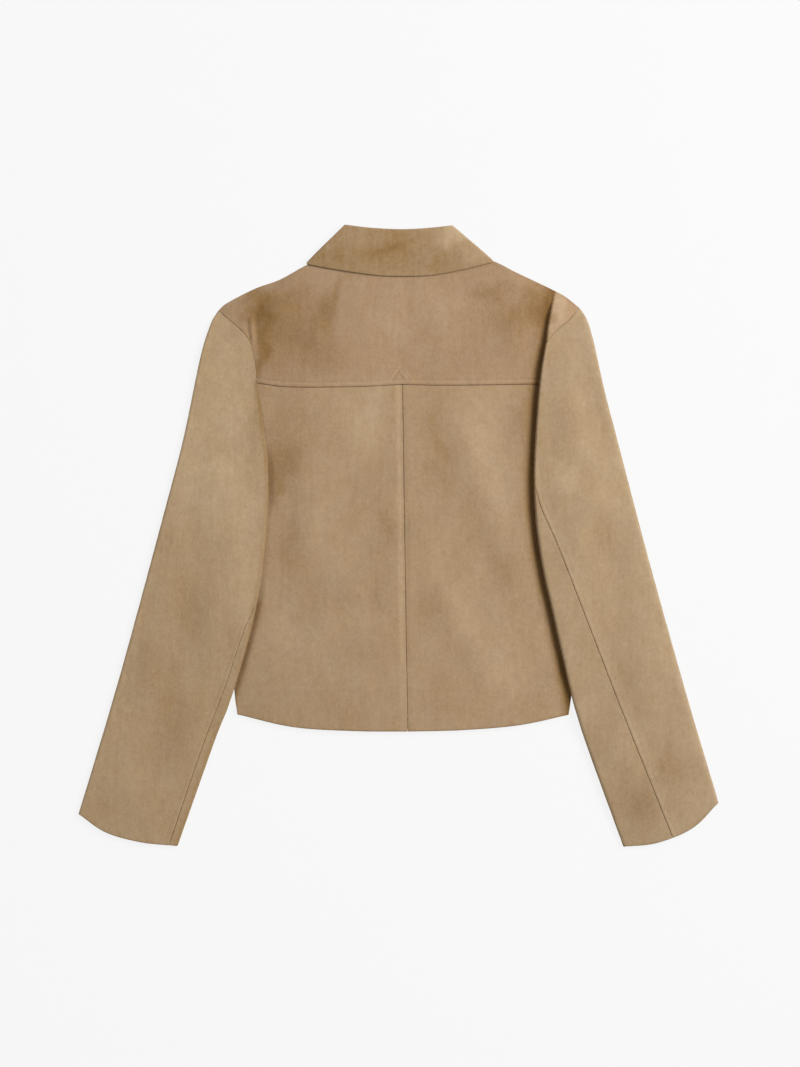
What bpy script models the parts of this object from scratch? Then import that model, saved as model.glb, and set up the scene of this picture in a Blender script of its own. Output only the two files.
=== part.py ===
"""A cropped suede jacket, laid flat on its front with its back up.

Each piece that is cut and sewn is one solid: the back yoke, two back panels, two fronts, two
two-piece sleeves, the collar's stand and leaf, and the buttons of the front.

Frame: +X is the wearer's right sleeve, +Y the collar, +Z up from the surface the jacket lies on.
Plan points are in millimetres, measured from the middle of the back.
"""
import math

import bmesh
import bpy
from mathutils import Vector

MM = 0.001

# Cloth, in millimetres.
SUEDE = 1.1                      # thickness of the suede
SEAM_GAP = 0.3                   # between two pieces that are sewn together
HALF = SUEDE / 2
LAYER = SUEDE + SEAM_GAP         # from the middle of one layer to the middle of the next
HOLLOW = 3.9                     # free height inside the body and the sleeves
FLOOR = HALF                     # middle of a layer that lies on the surface
UPPER = FLOOR + SUEDE + HOLLOW   # middle of the back, over the fronts
ELBOW_DRAW = 0.45                # each side of the elbow seam, so the walls clear as it turns the fold
OVER_BACK = 0.5                  # extra room where a sleeve lies on the back
SIDE_ROLL = 30.0                 # width over which the back comes down to a side seam
SHOULDER_ROLL = 14.0             # and to a shoulder seam
SLEEVE_FALL = 34.0               # width over which a sleeve comes down off the body
FOLD_REACH = 40.0                # how far past the body's edge a sleeve's top stays lifted

# Front closure.
CENTRE = 5.0                     # X of the centre front and centre back
LAP = 20.0                       # each front passes the centre by this much
LAP_CLEAR = 26.0                 # half width of the raised strip over the buttons
LAP_RAMP = 18.0                  # width of the slope beside that strip
BUTTONS = 5
BUTTON_TOP = 235.0               # Y of the highest button
BUTTON_PITCH = 100.0
BUTTON_WIDE = 18.0
BUTTON_THICK = 1.8
BUTTON_RIM = 0.4
LOWER_LAP = BUTTON_THICK + SEAM_GAP + HALF      # right front, over the buttons
UPPER_LAP = LOWER_LAP + LAYER                   # left front, over the right one

# Collar.
LEAF_BACK = UPPER + LAYER        # middle of the leaf over the yoke
LEAF_FRONT = FLOOR               # middle of the leaf under the fronts
NECK_FRONT = FLOOR + LAYER       # middle of the fronts and stand over the front leaf
LIP_OUT = 1.2                    # how far the leaf rolls past the stand's edge
LIP_IN = 1.6                     # how far the rolled edge turns in
LEAF_ROWS = (                    # share of the leaf's width, and its roll outwards and inwards
    (0.0, 0.0, 0.0),
    (0.45, 0.0, 0.0),
    (0.96, 0.0, 0.0),
    (1.0, 0.7 * LIP_OUT, 0.25 * LIP_IN),
    (1.0, LIP_OUT, LIP_IN),
)
STAND_ROWS = (                   # the same for the stand, which ends inside the leaf's roll
    (0.0, 0.0, 0.0),
    (0.5, 0.0, 0.0),
    (1.0, -2.0 * SEAM_GAP, 0.0),
)
LEAF_ZONE_Y = (178.0, 202.0)     # the fronts climb onto the front leaf between these
LEAF_ZONE_X = (150.0, 116.0)     # and between these distances from the centre

# Creased yoke by the right armhole.
WEDGE_LIFT = 3.0
WEDGE_RAMP = 16.0

# Mesh steps.
SLEEVE_ROWS = 18
ARMHOLE_ROWS = 6                 # rows of a sleeve beside its armhole
TURN_STEPS = 4                   # facets round a folded edge
YOKE_COLUMNS = (6, 8, 6)         # shoulder, neck, shoulder
BACK_COLUMNS = 10                # across each back panel, and half of the yoke
YOKE_ROWS = 8
NECK_STEPS = 6                   # facets from a shoulder to the centre front
UNDER_STEPS = 4                  # across the underside of each sleeve piece
SHOULDER_STEPS = 5               # along a front's shoulder
SLOPE_STEPS = 2                  # down the slope beside the raised strip
LAP_STEPS = 2
LEAST_STEP = 1.2                 # between two columns of a sleeve
PROBE = 0.02                     # share of a panel that shows which way its inside lies
CORNER_CLEAR = 15.0              # a hidden armhole's points keep this far below the yoke's corner
FRONT_RISE = 4.0                 # the fronts' side corners sit this far above the back's
HEM_DIP = 1.0                    # fall of the hem and of the neck towards the centre front
BODY_ROWS = 12                   # of a back panel
SIDE_ROWS = 7                    # of those, beside the side seam

COLOURS = {
    "suede": (0.39, 0.27, 0.16),
    "suede_shade": (0.36, 0.245, 0.145),
    "suede_light": (0.42, 0.295, 0.18),
    "horn": (0.11, 0.065, 0.035),
}


# ---------------------------------------------------------------- lines and heights

def ease(x):
    """Smooth step from 0 to 1."""
    x = min(max(x, 0.0), 1.0)
    return x * x * (3.0 - 2.0 * x)


def mix(a, b, f):
    return a + (b - a) * f


class Seam:
    """A smooth line through a few plan points, read by the fraction of its length."""

    STEPS = 12

    def __init__(self, *points):
        points = [Vector(p) for p in points]
        ends = [2 * points[0] - points[1]] + points + [2 * points[-1] - points[-2]]
        self.points = []
        for before, start, end, after in zip(ends, ends[1:], ends[2:], ends[3:]):
            for step in range(self.STEPS):
                self.points.append(self.bend(before, start, end, after, step / self.STEPS))
        self.points.append(points[-1])
        self.lengths = [0.0]
        for a, b in zip(self.points, self.points[1:]):
            self.lengths.append(self.lengths[-1] + (b - a).length)

    @staticmethod
    def bend(before, start, end, after, f):
        """Catmull-Rom point between start and end."""
        slope_in = (end - before) / 2
        slope_out = (after - start) / 2
        return (start * (2 * f**3 - 3 * f**2 + 1) + slope_in * (f**3 - 2 * f**2 + f)
                + end * (3 * f**2 - 2 * f**3) + slope_out * (f**3 - f**2))

    def at(self, fraction):
        goal = min(max(fraction, 0.0), 1.0) * self.lengths[-1]
        for i in range(1, len(self.lengths)):
            if self.lengths[i] >= goal:
                span = self.lengths[i] - self.lengths[i - 1]
                return mix(self.points[i - 1], self.points[i], (goal - self.lengths[i - 1]) / span)
        return self.points[-1].copy()

    def distance(self, point):
        """Shortest way from a plan point to the line."""
        best = 1e9
        for a, b in zip(self.points, self.points[1:]):
            run = b - a
            f = min(max((point - a).dot(run) / run.length_squared, 0.0), 1.0)
            best = min(best, (point - a - run * f).length)
        return best

    def x_at(self, y):
        """X where a line that runs down the garment passes the height y."""
        for a, b in zip(self.points, self.points[1:]):
            if min(a.y, b.y) <= y <= max(a.y, b.y) and a.y != b.y:
                return mix(a.x, b.x, (y - a.y) / (b.y - a.y))
        return self.points[0].x if y > self.points[0].y else self.points[-1].x


class Chain:
    """Lines joined end to end, each with its own share of the mesh steps."""

    def __init__(self, *parts):
        self.parts = parts                       # (line, steps)
        self.steps = sum(steps for line, steps in parts)

    def at(self, fraction):
        goal = fraction * self.steps
        for line, steps in self.parts:
            if goal <= steps + 1e-9:
                return line.at(goal / steps)
            goal -= steps
        return self.parts[-1][0].at(1.0)


class Points:
    """A line of points that are each a mesh step."""

    def __init__(self, points):
        self.points = points

    def at(self, fraction):
        goal = min(max(fraction, 0.0), 1.0) * (len(self.points) - 1)
        low = min(int(goal + 1e-6), len(self.points) - 2)
        return mix(self.points[low], self.points[low + 1], goal - low)


class Short:
    """A line that stops short of its end."""

    def __init__(self, line, stop):
        self.line, self.stop = line, stop

    def at(self, fraction):
        return self.line.at(min(fraction, self.stop))


class Reverse:
    """A line read from its other end."""

    def __init__(self, line):
        self.line = line

    def at(self, fraction):
        return self.line.at(1 - fraction)


class Patch:
    """Plan surface between four lines: start and end run across, inner and outer run along."""

    def __init__(self, start, end, inner, outer):
        self.start, self.end, self.inner, self.outer = start, end, inner, outer

    def at(self, along, across):
        ruled = mix(self.start.at(across), self.end.at(across), along)
        sides = mix(self.inner.at(along), self.outer.at(along), across)
        corners = mix(mix(self.start.at(0), self.start.at(1), across),
                      mix(self.end.at(0), self.end.at(1), across), along)
        return ruled + sides - corners


# ---------------------------------------------------------------- the garment's lines, in plan

SLEEVE_LINES = {
    "left": {
        "armhole": Seam((-162, 174), (-166, 205), (-175, 229), (-207, 258)),
        "cuff": Seam((-253, -357), (-296, -352.5), (-336, -341), (-367, -320)),
        "inner": Seam((-162, 174), (-147, 80), (-150, -10), (-167, -98), (-191, -186), (-253, -357)),
        "outer": Seam((-207, 258), (-228, 203), (-266, 40), (-316, -144), (-350, -259), (-367, -320)),
    },
    "right": {
        "armhole": Seam((172, 219), (183, 234), (195, 245), (208, 260)),
        "cuff": Seam((260, -357), (297, -353), (338, -335), (368, -307)),
        "inner": Seam((172, 219), (162, 165), (157, 70), (161, -30), (187, -132), (209, -215),
                      (260, -357)),
        "outer": Seam((208, 260), (226, 219), (245, 132), (288, -29), (333, -190), (368, -307)),
    },
}

# Where the hidden seams run across a sleeve, as a share of its width from the inner edge. The
# back edge is the armhole down to the underarm and the forearm seam below it; the front edge
# is the front armhole and then the same forearm seam. The elbow seam is in millimetres over
# the top from the inner edge, and below zero it runs round the fold on the underside.
SLEEVE_SEAMS = {
    "left": (  # along, back edge, front edge, elbow
        (0.00, 0.00, 0.93, -20.0),
        (0.12, 0.30, 0.72, -20.0),
        (0.22, 0.48, 0.62, -18.0),
        (0.35, 0.61, 0.61, -13.0),
        (0.55, 0.50, 0.50, -1.5),
        (0.75, 0.42, 0.42, 6.0),
        (1.00, 0.36, 0.36, 7.0),
    ),
    "right": (
        (0.00, 0.00, 0.88, -16.0),
        (0.12, 0.34, 0.76, -15.0),
        (0.22, 0.52, 0.66, -10.0),
        (0.35, 0.66, 0.66, 4.0),
        (0.50, 0.58, 0.58, 28.0),
        (0.65, 0.52, 0.52, 38.0),
        (0.85, 0.44, 0.44, 48.0),
        (1.00, 0.36, 0.36, 53.0),
    ),
}
TOP_COLUMNS = {"left": 8, "right": 6}

SHOULDER_TIP = 0.970             # the yoke's share of the armhole line, up to the sleeve's head

UNDERARM = ARMHOLE_ROWS / SLEEVE_ROWS

SIDE_FOOT = {"left": (-184.5, -206.0), "right": (196.0, -206.5)}
SIDE_BEND = {"left": (-189.0, -170.0), "right": (201.0, -170.0)}
FRONT_HEM = -222.0                # the fronts stop just short of the back's hem
NECK_POINT = {"left": (-79.0, 321.0), "right": (86.0, 322.0)}
SHOULDER_BEND = {"left": ((-107.0, 307.0), (-150.0, 288.5)), "right": ((113.0, 308.5), (160.0, 291.0))}

HEM_LEFT = Seam(SIDE_FOOT["left"], (-120, -220.5), (-50, -225), (CENTRE + 6, -225.5))
HEM_RIGHT = Seam((CENTRE + 6, -225.5), (72, -224), (138, -218.5), SIDE_FOOT["right"])
CENTRE_BACK = Seam((CENTRE, 172.5), (CENTRE + 4, -100), (CENTRE + 6, -225.5))
YOKE_SEAM_LEFT = Seam((-162, 174), (-123, 169.5), (-45, 170), (CENTRE, 172.5))
YOKE_SEAM_RIGHT = Seam((CENTRE, 172.5), (60, 171.5), (164, 173), (189, 174))
BACK_NECK = Seam(NECK_POINT["left"], (-45, 313.5), (4, 311), (54, 314), NECK_POINT["right"])
FRONT_NECK = {
    "left": Seam(NECK_POINT["left"], (-62, 285), (-34, 265), (CENTRE - 4, 258)),
    "right": Seam(NECK_POINT["right"], (71, 285), (44, 265), (CENTRE + 4, 258)),
}
WEDGE_CREASE = Seam((180, 277), (173, 240), (172, 219))


def sign(side):
    """+1 on the wearer's right, -1 on the left."""
    return 1.0 if side == "right" else -1.0


def look_up(table, along, column):
    """Value of a table's column, eased between its rows."""
    for low, high in zip(table, table[1:]):
        if along <= high[0]:
            return mix(low[column], high[column], (along - low[0]) / (high[0] - low[0]))
    return table[-1][column]


class Sleeve:
    """A flattened sleeve: two layers joined by a rolled fold down each long edge."""

    def __init__(self, side):
        self.side = side
        lines = SLEEVE_LINES[side]
        self.plan = Patch(lines["armhole"], lines["cuff"], lines["inner"], lines["outer"])
        self.seams = SLEEVE_SEAMS[side]
        self.underarm = self.plan.at(UNDERARM, look_up(self.seams, UNDERARM, 1))

    def edge(self, along, column):
        """Plan point of the back edge (1) or the front edge (2)."""
        return self.plan.at(along, look_up(self.seams, along, column))

    def armhole_line(self, column, rows=ARMHOLE_ROWS):
        """The hidden armhole from the top of the sleeve down to the underarm."""
        return [self.edge(UNDERARM * i / rows, column) for i in range(rows + 1)]


SLEEVES = {side: Sleeve(side) for side in ("left", "right")}
SIDE_SEAM = {side: Seam(SLEEVES[side].underarm, mix(SLEEVES[side].underarm, Vector(SIDE_BEND[side]), 0.5),
                        SIDE_BEND[side], SIDE_FOOT[side]) for side in SLEEVES}
ARMHOLE = {side: Short(SLEEVE_LINES[side]["armhole"], SHOULDER_TIP) for side in SLEEVES}
SHOULDER = {side: Seam(ARMHOLE[side].at(1.0), *reversed(SHOULDER_BEND[side]), NECK_POINT[side])
            for side in SLEEVES}
FRONT_SHOULDER = {side: Seam(SLEEVES[side].edge(0, 2), *reversed(SHOULDER_BEND[side]), NECK_POINT[side])
                  for side in SLEEVES}
BODY_EDGE = {side: Seam(SLEEVE_LINES[side]["armhole"].at(0.0), *SLEEVES[side].armhole_line(1)[2::2],
                        SIDE_BEND[side], SIDE_FOOT[side]) for side in SLEEVES}


def front_height(point):
    """Middle of a front: on the surface, and lifted over the collar's front leaf."""
    up = ease((point.y - LEAF_ZONE_Y[0]) / (LEAF_ZONE_Y[1] - LEAF_ZONE_Y[0]))
    over = abs(point.x - CENTRE)
    inward = ease((LEAF_ZONE_X[0] - over) / (LEAF_ZONE_X[0] - LEAF_ZONE_X[1]))
    return FLOOR + LAYER * up * inward


def back_height(point):
    """Middle of the back: over the fronts, and down on them at the sides and shoulders."""
    side = "right" if point.x > CENTRE else "left"
    drop = 1 - ease(SIDE_SEAM[side].distance(point) / SIDE_ROLL)
    drop = max(drop, 1 - ease(SHOULDER[side].distance(point) / SHOULDER_ROLL))
    return mix(UPPER, front_height(point) + LAYER, drop)


def yoke_height(point):
    """The back's height, with the fold of the yoke beside the right armhole."""
    lift = 0.0
    if point.x > WEDGE_CREASE.x_at(point.y) and point.y > WEDGE_CREASE.points[-1].y:
        lift = WEDGE_LIFT * ease(WEDGE_CREASE.distance(point) / WEDGE_RAMP)
    return back_height(point) + lift


def inside_body(side, point):
    return sign(side) * (BODY_EDGE[side].x_at(point.y) - point.x) > 0


def on_back_height(point):
    """Middle of a sleeve's lower layer where it lies on the back."""
    return back_height(point) + LAYER + OVER_BACK


def beside_height(side, point):
    """Middle of a sleeve's lower layer where it comes down beside the body."""
    on_edge = FLOOR + 2 * LAYER + OVER_BACK
    return mix(on_edge, FLOOR, ease(SIDE_SEAM[side].distance(point) / SLEEVE_FALL))


def top_height(side, point):
    """Middle of a sleeve's upper layer."""
    reach = BODY_EDGE[side].distance(point)
    if not inside_body(side, point):
        reach = -reach
    lift = ease((reach + FOLD_REACH) / (FOLD_REACH + SIDE_ROLL))
    return UPPER + (UPPER + LAYER + OVER_BACK - FLOOR) * lift


# ---------------------------------------------------------------- making solids

def material(name):
    """A plain finish in one of the jacket's colours."""
    found = bpy.data.materials.new(name)
    found.use_nodes = True
    shader = found.node_tree.nodes["Principled BSDF"]
    shader.inputs["Base Color"].default_value = (*COLOURS[name], 1.0)
    shader.inputs["Roughness"].default_value = 0.35 if name == "horn" else 0.95
    shader.inputs["Metallic"].default_value = 0.0
    return found


def cloth(collection, name, finish, place, columns, rows, seams=()):
    """A wall of suede on the surface place(across, along).

    seams says how far each sewn side is drawn back from its seam line: inner and outer are the
    sides where across is 0 and 1, start and end those where along is 0 and 1.
    """
    drawn = dict(seams)
    shape = bmesh.new()
    bmesh.ops.create_grid(shape, x_segments=columns, y_segments=rows, size=0.5)
    for vert in shape.verts:
        across = min(max(round((vert.co.x + 0.5) * columns), 0), columns) / columns
        along = min(max(round((vert.co.y + 0.5) * rows), 0), rows) / rows
        spot = Vector(place(across, along))
        pull = Vector((0, 0, 0))
        for mark, on_side, other in (("inner", across == 0, (PROBE, along)),
                                     ("outer", across == 1, (1 - PROBE, along)),
                                     ("start", along == 0, (across, PROBE)),
                                     ("end", along == 1, (across, 1 - PROBE))):
            if on_side and mark in drawn:
                pull += (Vector(place(*other)) - spot).normalized() * drawn[mark]
        vert.co = (spot + pull) * MM
    mesh = bpy.data.meshes.new(name)
    shape.to_mesh(mesh)
    shape.free()
    piece = bpy.data.objects.new(name, mesh)
    mesh.materials.append(finish)
    collection.objects.link(piece)
    wall = piece.modifiers.new("suede", "SOLIDIFY")
    wall.thickness = SUEDE * MM
    wall.offset = 0.0
    return piece


def sewn(*marks):
    """Half of a seam's gap on each of the named sides."""
    return [(mark, SEAM_GAP / 2) for mark in marks]


def spread(marks, low, high):
    """Keep marks between low and high, in order and at least a small step apart."""
    last = len(marks) - 1
    held = [max(mark, low + i * LEAST_STEP) for i, mark in enumerate(marks)]
    held = [min(mark, high - (last - i) * LEAST_STEP) for i, mark in enumerate(held)]
    held[0], held[-1] = low, high
    return held


# ---------------------------------------------------------------- sleeves

class Section:
    """One cross-section of a flattened sleeve, read by the way round it from the inner fold.

    The way is 0 where the upper layer leaves the inner fold. It runs over the top to the outer
    fold and back underneath; below 0 it goes round the inner fold and outwards underneath.
    """

    def __init__(self, sleeve, along):
        self.sleeve, self.along = sleeve, along
        side = sleeve.side
        self.inner, self.outer = sleeve.plan.at(along, 0), sleeve.plan.at(along, 1)
        self.wide = (self.outer - self.inner).length
        self.out = (self.outer - self.inner).normalized()
        self.roll_in = (top_height(side, self.inner) - self.low(self.inner, True)) / 2
        self.roll_out = (top_height(side, self.outer) - self.low(self.outer, False)) / 2
        self.start = self.roll_in + HALF
        self.flat = self.wide - self.start - self.roll_out - HALF
        self.turn_in = math.pi * self.roll_in
        self.turn_out = math.pi * self.roll_out

    def low(self, spot, inner):
        """Height of the lower layer, which the armhole parts in two above the underarm."""
        above = self.along < UNDERARM - 1e-6
        on_back = inner if above else inside_body(self.sleeve.side, spot)
        return on_back_height(spot) if on_back else beside_height(self.sleeve.side, spot)

    def share(self, distance):
        """Point of the upper layer, a distance from the inner edge."""
        return self.sleeve.plan.at(self.along, distance / self.wide)

    def point(self, way):
        side = self.sleeve.side
        if way < -self.turn_in:
            spot = self.share(self.start - (way + self.turn_in))
            return (spot.x, spot.y, self.low(spot, True))
        if way < 0:
            angle = -way / self.roll_in
            spot = self.share(self.start)
            top = top_height(side, spot)
            low = self.low(spot, True)
            spot = spot - self.out * self.roll_in * math.sin(angle)
            return (spot.x, spot.y, mix(top, low, (1 - math.cos(angle)) / 2))
        if way <= self.flat:
            spot = self.share(self.start + way)
            return (spot.x, spot.y, top_height(side, spot))
        way -= self.flat
        edge = self.share(self.start + self.flat)
        if way < self.turn_out:
            angle = way / self.roll_out
            top = top_height(side, edge)
            low = self.low(edge, False)
            edge = edge + self.out * self.roll_out * math.sin(angle)
            return (edge.x, edge.y, mix(top, low, (1 - math.cos(angle)) / 2))
        spot = self.share(self.start + self.flat - (way - self.turn_out))
        return (spot.x, spot.y, self.low(spot, False))

    def under_way(self, share):
        """Way, below 0, to a share of the width on the underside."""
        return -self.turn_in - (share * self.wide - self.start)

    def far_way(self, share):
        """The same place, reached over the top and round the outer fold."""
        return self.flat + self.turn_out + (self.wide - self.roll_out - HALF - share * self.wide)


def turn_marks(length):
    return [length * i / TURN_STEPS for i in range(1, TURN_STEPS)]


def build_sleeve(collection, side, finish, under_finish):
    sleeve = SLEEVES[side]
    top_steps = TOP_COLUMNS[side]
    top_rows = {}
    under_rows = {}
    for row in range(SLEEVE_ROWS + 1):
        along = row / SLEEVE_ROWS
        cut = Section(sleeve, along)
        elbow = look_up(sleeve.seams, along, 3)
        back = cut.under_way(look_up(sleeve.seams, along, 1))
        front = cut.far_way(look_up(sleeve.seams, along, 2))
        marks = [elbow, -cut.turn_in] + [-m for m in reversed(turn_marks(cut.turn_in))] + [0.0]
        marks += [cut.wide * i / top_steps - cut.start for i in range(1, top_steps)]
        marks += [cut.flat] + [cut.flat + m for m in turn_marks(cut.turn_out)]
        marks.append(cut.flat + cut.turn_out)
        marks += [mix(cut.flat + cut.turn_out, front, i / UNDER_STEPS) for i in range(1, UNDER_STEPS + 1)]
        top_rows[row] = (cut, spread(marks, elbow, front))
        marks = [mix(back, -cut.turn_in, i / UNDER_STEPS) for i in range(UNDER_STEPS + 1)]
        marks += [-m for m in reversed(turn_marks(cut.turn_in))] + [0.0, elbow / 2, elbow]
        under_rows[row] = (cut, spread(marks, back, elbow))

    def placer(rows, first):
        columns = len(rows[0][1]) - 1
        count = SLEEVE_ROWS - first

        def place(across, along):
            low = min(int(along * count + 1e-6), count - 1)
            part = along * count - low
            spots = []
            for row in (first + low, first + low + 1):
                cut, ways = rows[row]
                step = min(int(across * columns + 1e-6), columns - 1)
                way = mix(ways[step], ways[step + 1], across * columns - step)
                spots.append(Vector(cut.point(way)))
            return mix(spots[0], spots[1], part)
        return place, columns, count

    place, columns, count = placer(top_rows, 0)
    cloth(collection, f"sleeve_{side}_top", finish, place, columns, count,
          sewn("outer", "start") + [("inner", ELBOW_DRAW)])
    place, columns, count = placer(under_rows, 2)
    cloth(collection, f"sleeve_{side}_under", under_finish, place, columns, count,
          sewn("inner") + [("outer", ELBOW_DRAW)])


# ---------------------------------------------------------------- body

def flat_cloth(collection, name, finish, patch, height, columns, rows, seams):
    """A panel of the body: a plan patch with a height for each point."""
    def place(across, along):
        spot = patch.at(along, across)
        return (spot.x, spot.y, height(spot))
    return cloth(collection, name, finish, place, columns, rows, seams)


def build_back(collection, finishes):
    corner = YOKE_SEAM_RIGHT.at(1.0)
    right_armhole = ARMHOLE["right"]
    yoke = Patch(
        Chain((YOKE_SEAM_LEFT, BACK_COLUMNS), (YOKE_SEAM_RIGHT, BACK_COLUMNS)),
        Chain((SHOULDER["left"], YOKE_COLUMNS[0]), (BACK_NECK, YOKE_COLUMNS[1]),
              (Reverse(SHOULDER["right"]), YOKE_COLUMNS[2])),
        ARMHOLE["left"],
        Chain((Seam(corner, right_armhole.at(0.0)), YOKE_ROWS - TOP_COLUMNS["right"]),
              (right_armhole, TOP_COLUMNS["right"])))
    flat_cloth(collection, "back_yoke", finishes["suede_light"], yoke, yoke_height,
               sum(YOKE_COLUMNS), YOKE_ROWS, sewn("inner", "outer", "start", "end"))

    edge_left = Chain((Seam(*SLEEVES["left"].armhole_line(1, 4)), BODY_ROWS - SIDE_ROWS),
                      (SIDE_SEAM["left"], SIDE_ROWS))
    left = Patch(YOKE_SEAM_LEFT, HEM_LEFT, edge_left, CENTRE_BACK)
    flat_cloth(collection, "back_left", finishes["suede"], left, back_height, BACK_COLUMNS, BODY_ROWS,
               sewn("start", "inner", "outer"))

    down = [p for p in SLEEVES["right"].armhole_line(1) if p.y < corner.y - CORNER_CLEAR]
    edge_right = Chain((Seam(corner, *down[:-1:2], SLEEVES["right"].underarm), BODY_ROWS - SIDE_ROWS),
                       (SIDE_SEAM["right"], SIDE_ROWS))
    right = Patch(YOKE_SEAM_RIGHT, HEM_RIGHT, CENTRE_BACK, edge_right)
    flat_cloth(collection, "back_right", finishes["suede"], right, back_height, BACK_COLUMNS, BODY_ROWS,
               sewn("start", "inner", "outer"))


def build_front(collection, side, finish, lap_height):
    """One front, from its shoulder and neck down to the hem, with its lap past the centre."""
    way = sign(side)
    columns = SHOULDER_STEPS + NECK_STEPS + SLOPE_STEPS + LAP_STEPS
    neck_foot = FRONT_NECK[side].at(1.0)
    lap_edge = CENTRE - way * LAP
    foot = Vector(SIDE_FOOT[side]) + Vector((0, FRONT_RISE))
    slope_top, slope_foot = CENTRE + way * LAP_CLEAR, CENTRE + way * (LAP_CLEAR + LAP_RAMP)
    top = Chain((FRONT_SHOULDER[side], SHOULDER_STEPS), (FRONT_NECK[side], NECK_STEPS),
                (Seam(neck_foot, (lap_edge, neck_foot.y - HEM_DIP)), SLOPE_STEPS + LAP_STEPS))
    hem = Chain(
        (Seam(foot, (slope_foot, FRONT_HEM + HEM_DIP)), SHOULDER_STEPS + NECK_STEPS - 2),
        (Seam((slope_foot, FRONT_HEM + HEM_DIP), (slope_top, FRONT_HEM)), SLOPE_STEPS),
        (Seam((slope_top, FRONT_HEM), (lap_edge, FRONT_HEM)), LAP_STEPS + 2))
    armhole = Points(SLEEVES[side].armhole_line(2))
    outer = Chain((armhole, ARMHOLE_ROWS), (Seam(SLEEVES[side].underarm, SIDE_BEND[side], foot), SIDE_ROWS))
    edge = Seam((lap_edge, neck_foot.y - HEM_DIP), (lap_edge, FRONT_HEM))

    def height(spot):
        over = way * (spot.x - CENTRE)
        lift = ease((LAP_CLEAR + LAP_RAMP - over) / LAP_RAMP)
        return mix(front_height(spot), lap_height, lift)

    flat_cloth(collection, f"front_{side}", finish, Patch(top, hem, outer, edge), height,
               columns, ARMHOLE_ROWS + SIDE_ROWS, sewn("start", "inner"))


def build_buttons(collection, finish):
    """Plain round buttons down the centre front, on the surface under the lapped edge."""
    for i in range(BUTTONS):
        shape = bmesh.new()
        bmesh.ops.create_cone(shape, cap_ends=True, segments=16, radius1=BUTTON_WIDE / 2 * MM,
                              radius2=BUTTON_WIDE / 2 * MM, depth=BUTTON_THICK * MM)
        name = f"button_{i + 1}"
        mesh = bpy.data.meshes.new(name)
        shape.to_mesh(mesh)
        shape.free()
        mesh.materials.append(finish)
        button = bpy.data.objects.new(name, mesh)
        button.location = (CENTRE * MM, (BUTTON_TOP - i * BUTTON_PITCH) * MM, BUTTON_THICK / 2 * MM)
        collection.objects.link(button)
        rim = button.modifiers.new("rim", "BEVEL")
        rim.width = BUTTON_RIM * MM
        rim.segments = 1


# ---------------------------------------------------------------- collar

class Band:
    """A band round the neck, flattened: a front part, a turn, the back, a turn, a front part.

    low and high are its two long edges, each a front line and a back line for either side.
    """

    FRONT_STEPS = NECK_STEPS
    BACK_STEPS = YOKE_COLUMNS[1]

    def __init__(self, low, high, front, back, rows):
        self.low, self.high = low, high
        self.front, self.back = front, back      # middle heights of its two layers
        self.rows = rows                         # (share from low to high, outwards, inwards)
        self.columns = 2 * (self.FRONT_STEPS + TURN_STEPS) + self.BACK_STEPS

    def place(self, across, along):
        row = along * (len(self.rows) - 1)
        low = min(int(row + 1e-6), len(self.rows) - 2)
        share, out, inward = (mix(a, b, row - low) for a, b in zip(self.rows[low], self.rows[low + 1]))
        step = across * self.columns
        front, turn, back = self.FRONT_STEPS, TURN_STEPS, self.BACK_STEPS
        middle = (self.front + self.back) / 2
        roll = (self.back - self.front) / 2
        if step <= front:
            part, f, angle = "left", 1 - step / front, math.pi
        elif step <= front + turn:
            part, f, angle = "back", 0.0, math.pi * (1 - (step - front) / turn)
        elif step <= front + turn + back:
            part, f, angle = "back", (step - front - turn) / back, 0.0
        elif step <= front + 2 * turn + back:
            part, f, angle = "back", 1.0, math.pi * (step - front - turn - back) / turn
        else:
            part, f, angle = "right", (step - front - 2 * turn - back) / front, math.pi
        low_point = self.low[part].at(f)
        high_point = self.high[part].at(f)
        rise = (high_point - low_point).normalized()
        spot = mix(low_point, high_point, share) + rise * out
        aside = Vector((-rise.y, rise.x)) * (1 if f < 0.5 and part == "back" else -1)
        reach = roll - inward
        spot = spot + aside * reach * math.sin(angle)
        return (spot.x, spot.y, middle + reach * math.cos(angle))


def build_collar(collection, finishes):
    side_inset = (LEAF_BACK - LEAF_FRONT) / 2 + HALF      # the turns end at the outline
    roll_left, roll_right = (-62 + side_inset, 354), (62 - side_inset, 354)
    roll = {
        "left": Seam(roll_left, (-45, 322), (CENTRE - 5, 290)),
        "back": Seam(roll_left, (-30, 352), (5, 350), (36, 352), roll_right),
        "right": Seam(roll_right, (50, 322), (CENTRE + 5, 290)),
    }
    edge_left, edge_right = (-102, 313.5), (107, 316.5)
    edge = {
        "left": Seam(edge_left, (-84, 262), (-58, 222)),
        "back": Seam(edge_left, (-76, 305), (-28, 298), (5, 296.5), (41, 298), (78, 305), edge_right),
        "right": Seam(edge_right, (92, 262), (68, 222)),
    }
    leaf = Band(edge, roll, LEAF_FRONT, LEAF_BACK, LEAF_ROWS)
    cloth(collection, "collar_leaf", finishes["suede_light"], leaf.place, leaf.columns, len(LEAF_ROWS) - 1)

    neck = {"left": FRONT_NECK["left"], "back": BACK_NECK, "right": FRONT_NECK["right"]}
    stand = Band(neck, roll, NECK_FRONT, UPPER, STAND_ROWS)
    cloth(collection, "collar_stand", finishes["suede_shade"], stand.place, stand.columns,
          len(STAND_ROWS) - 1, sewn("start"))


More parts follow.
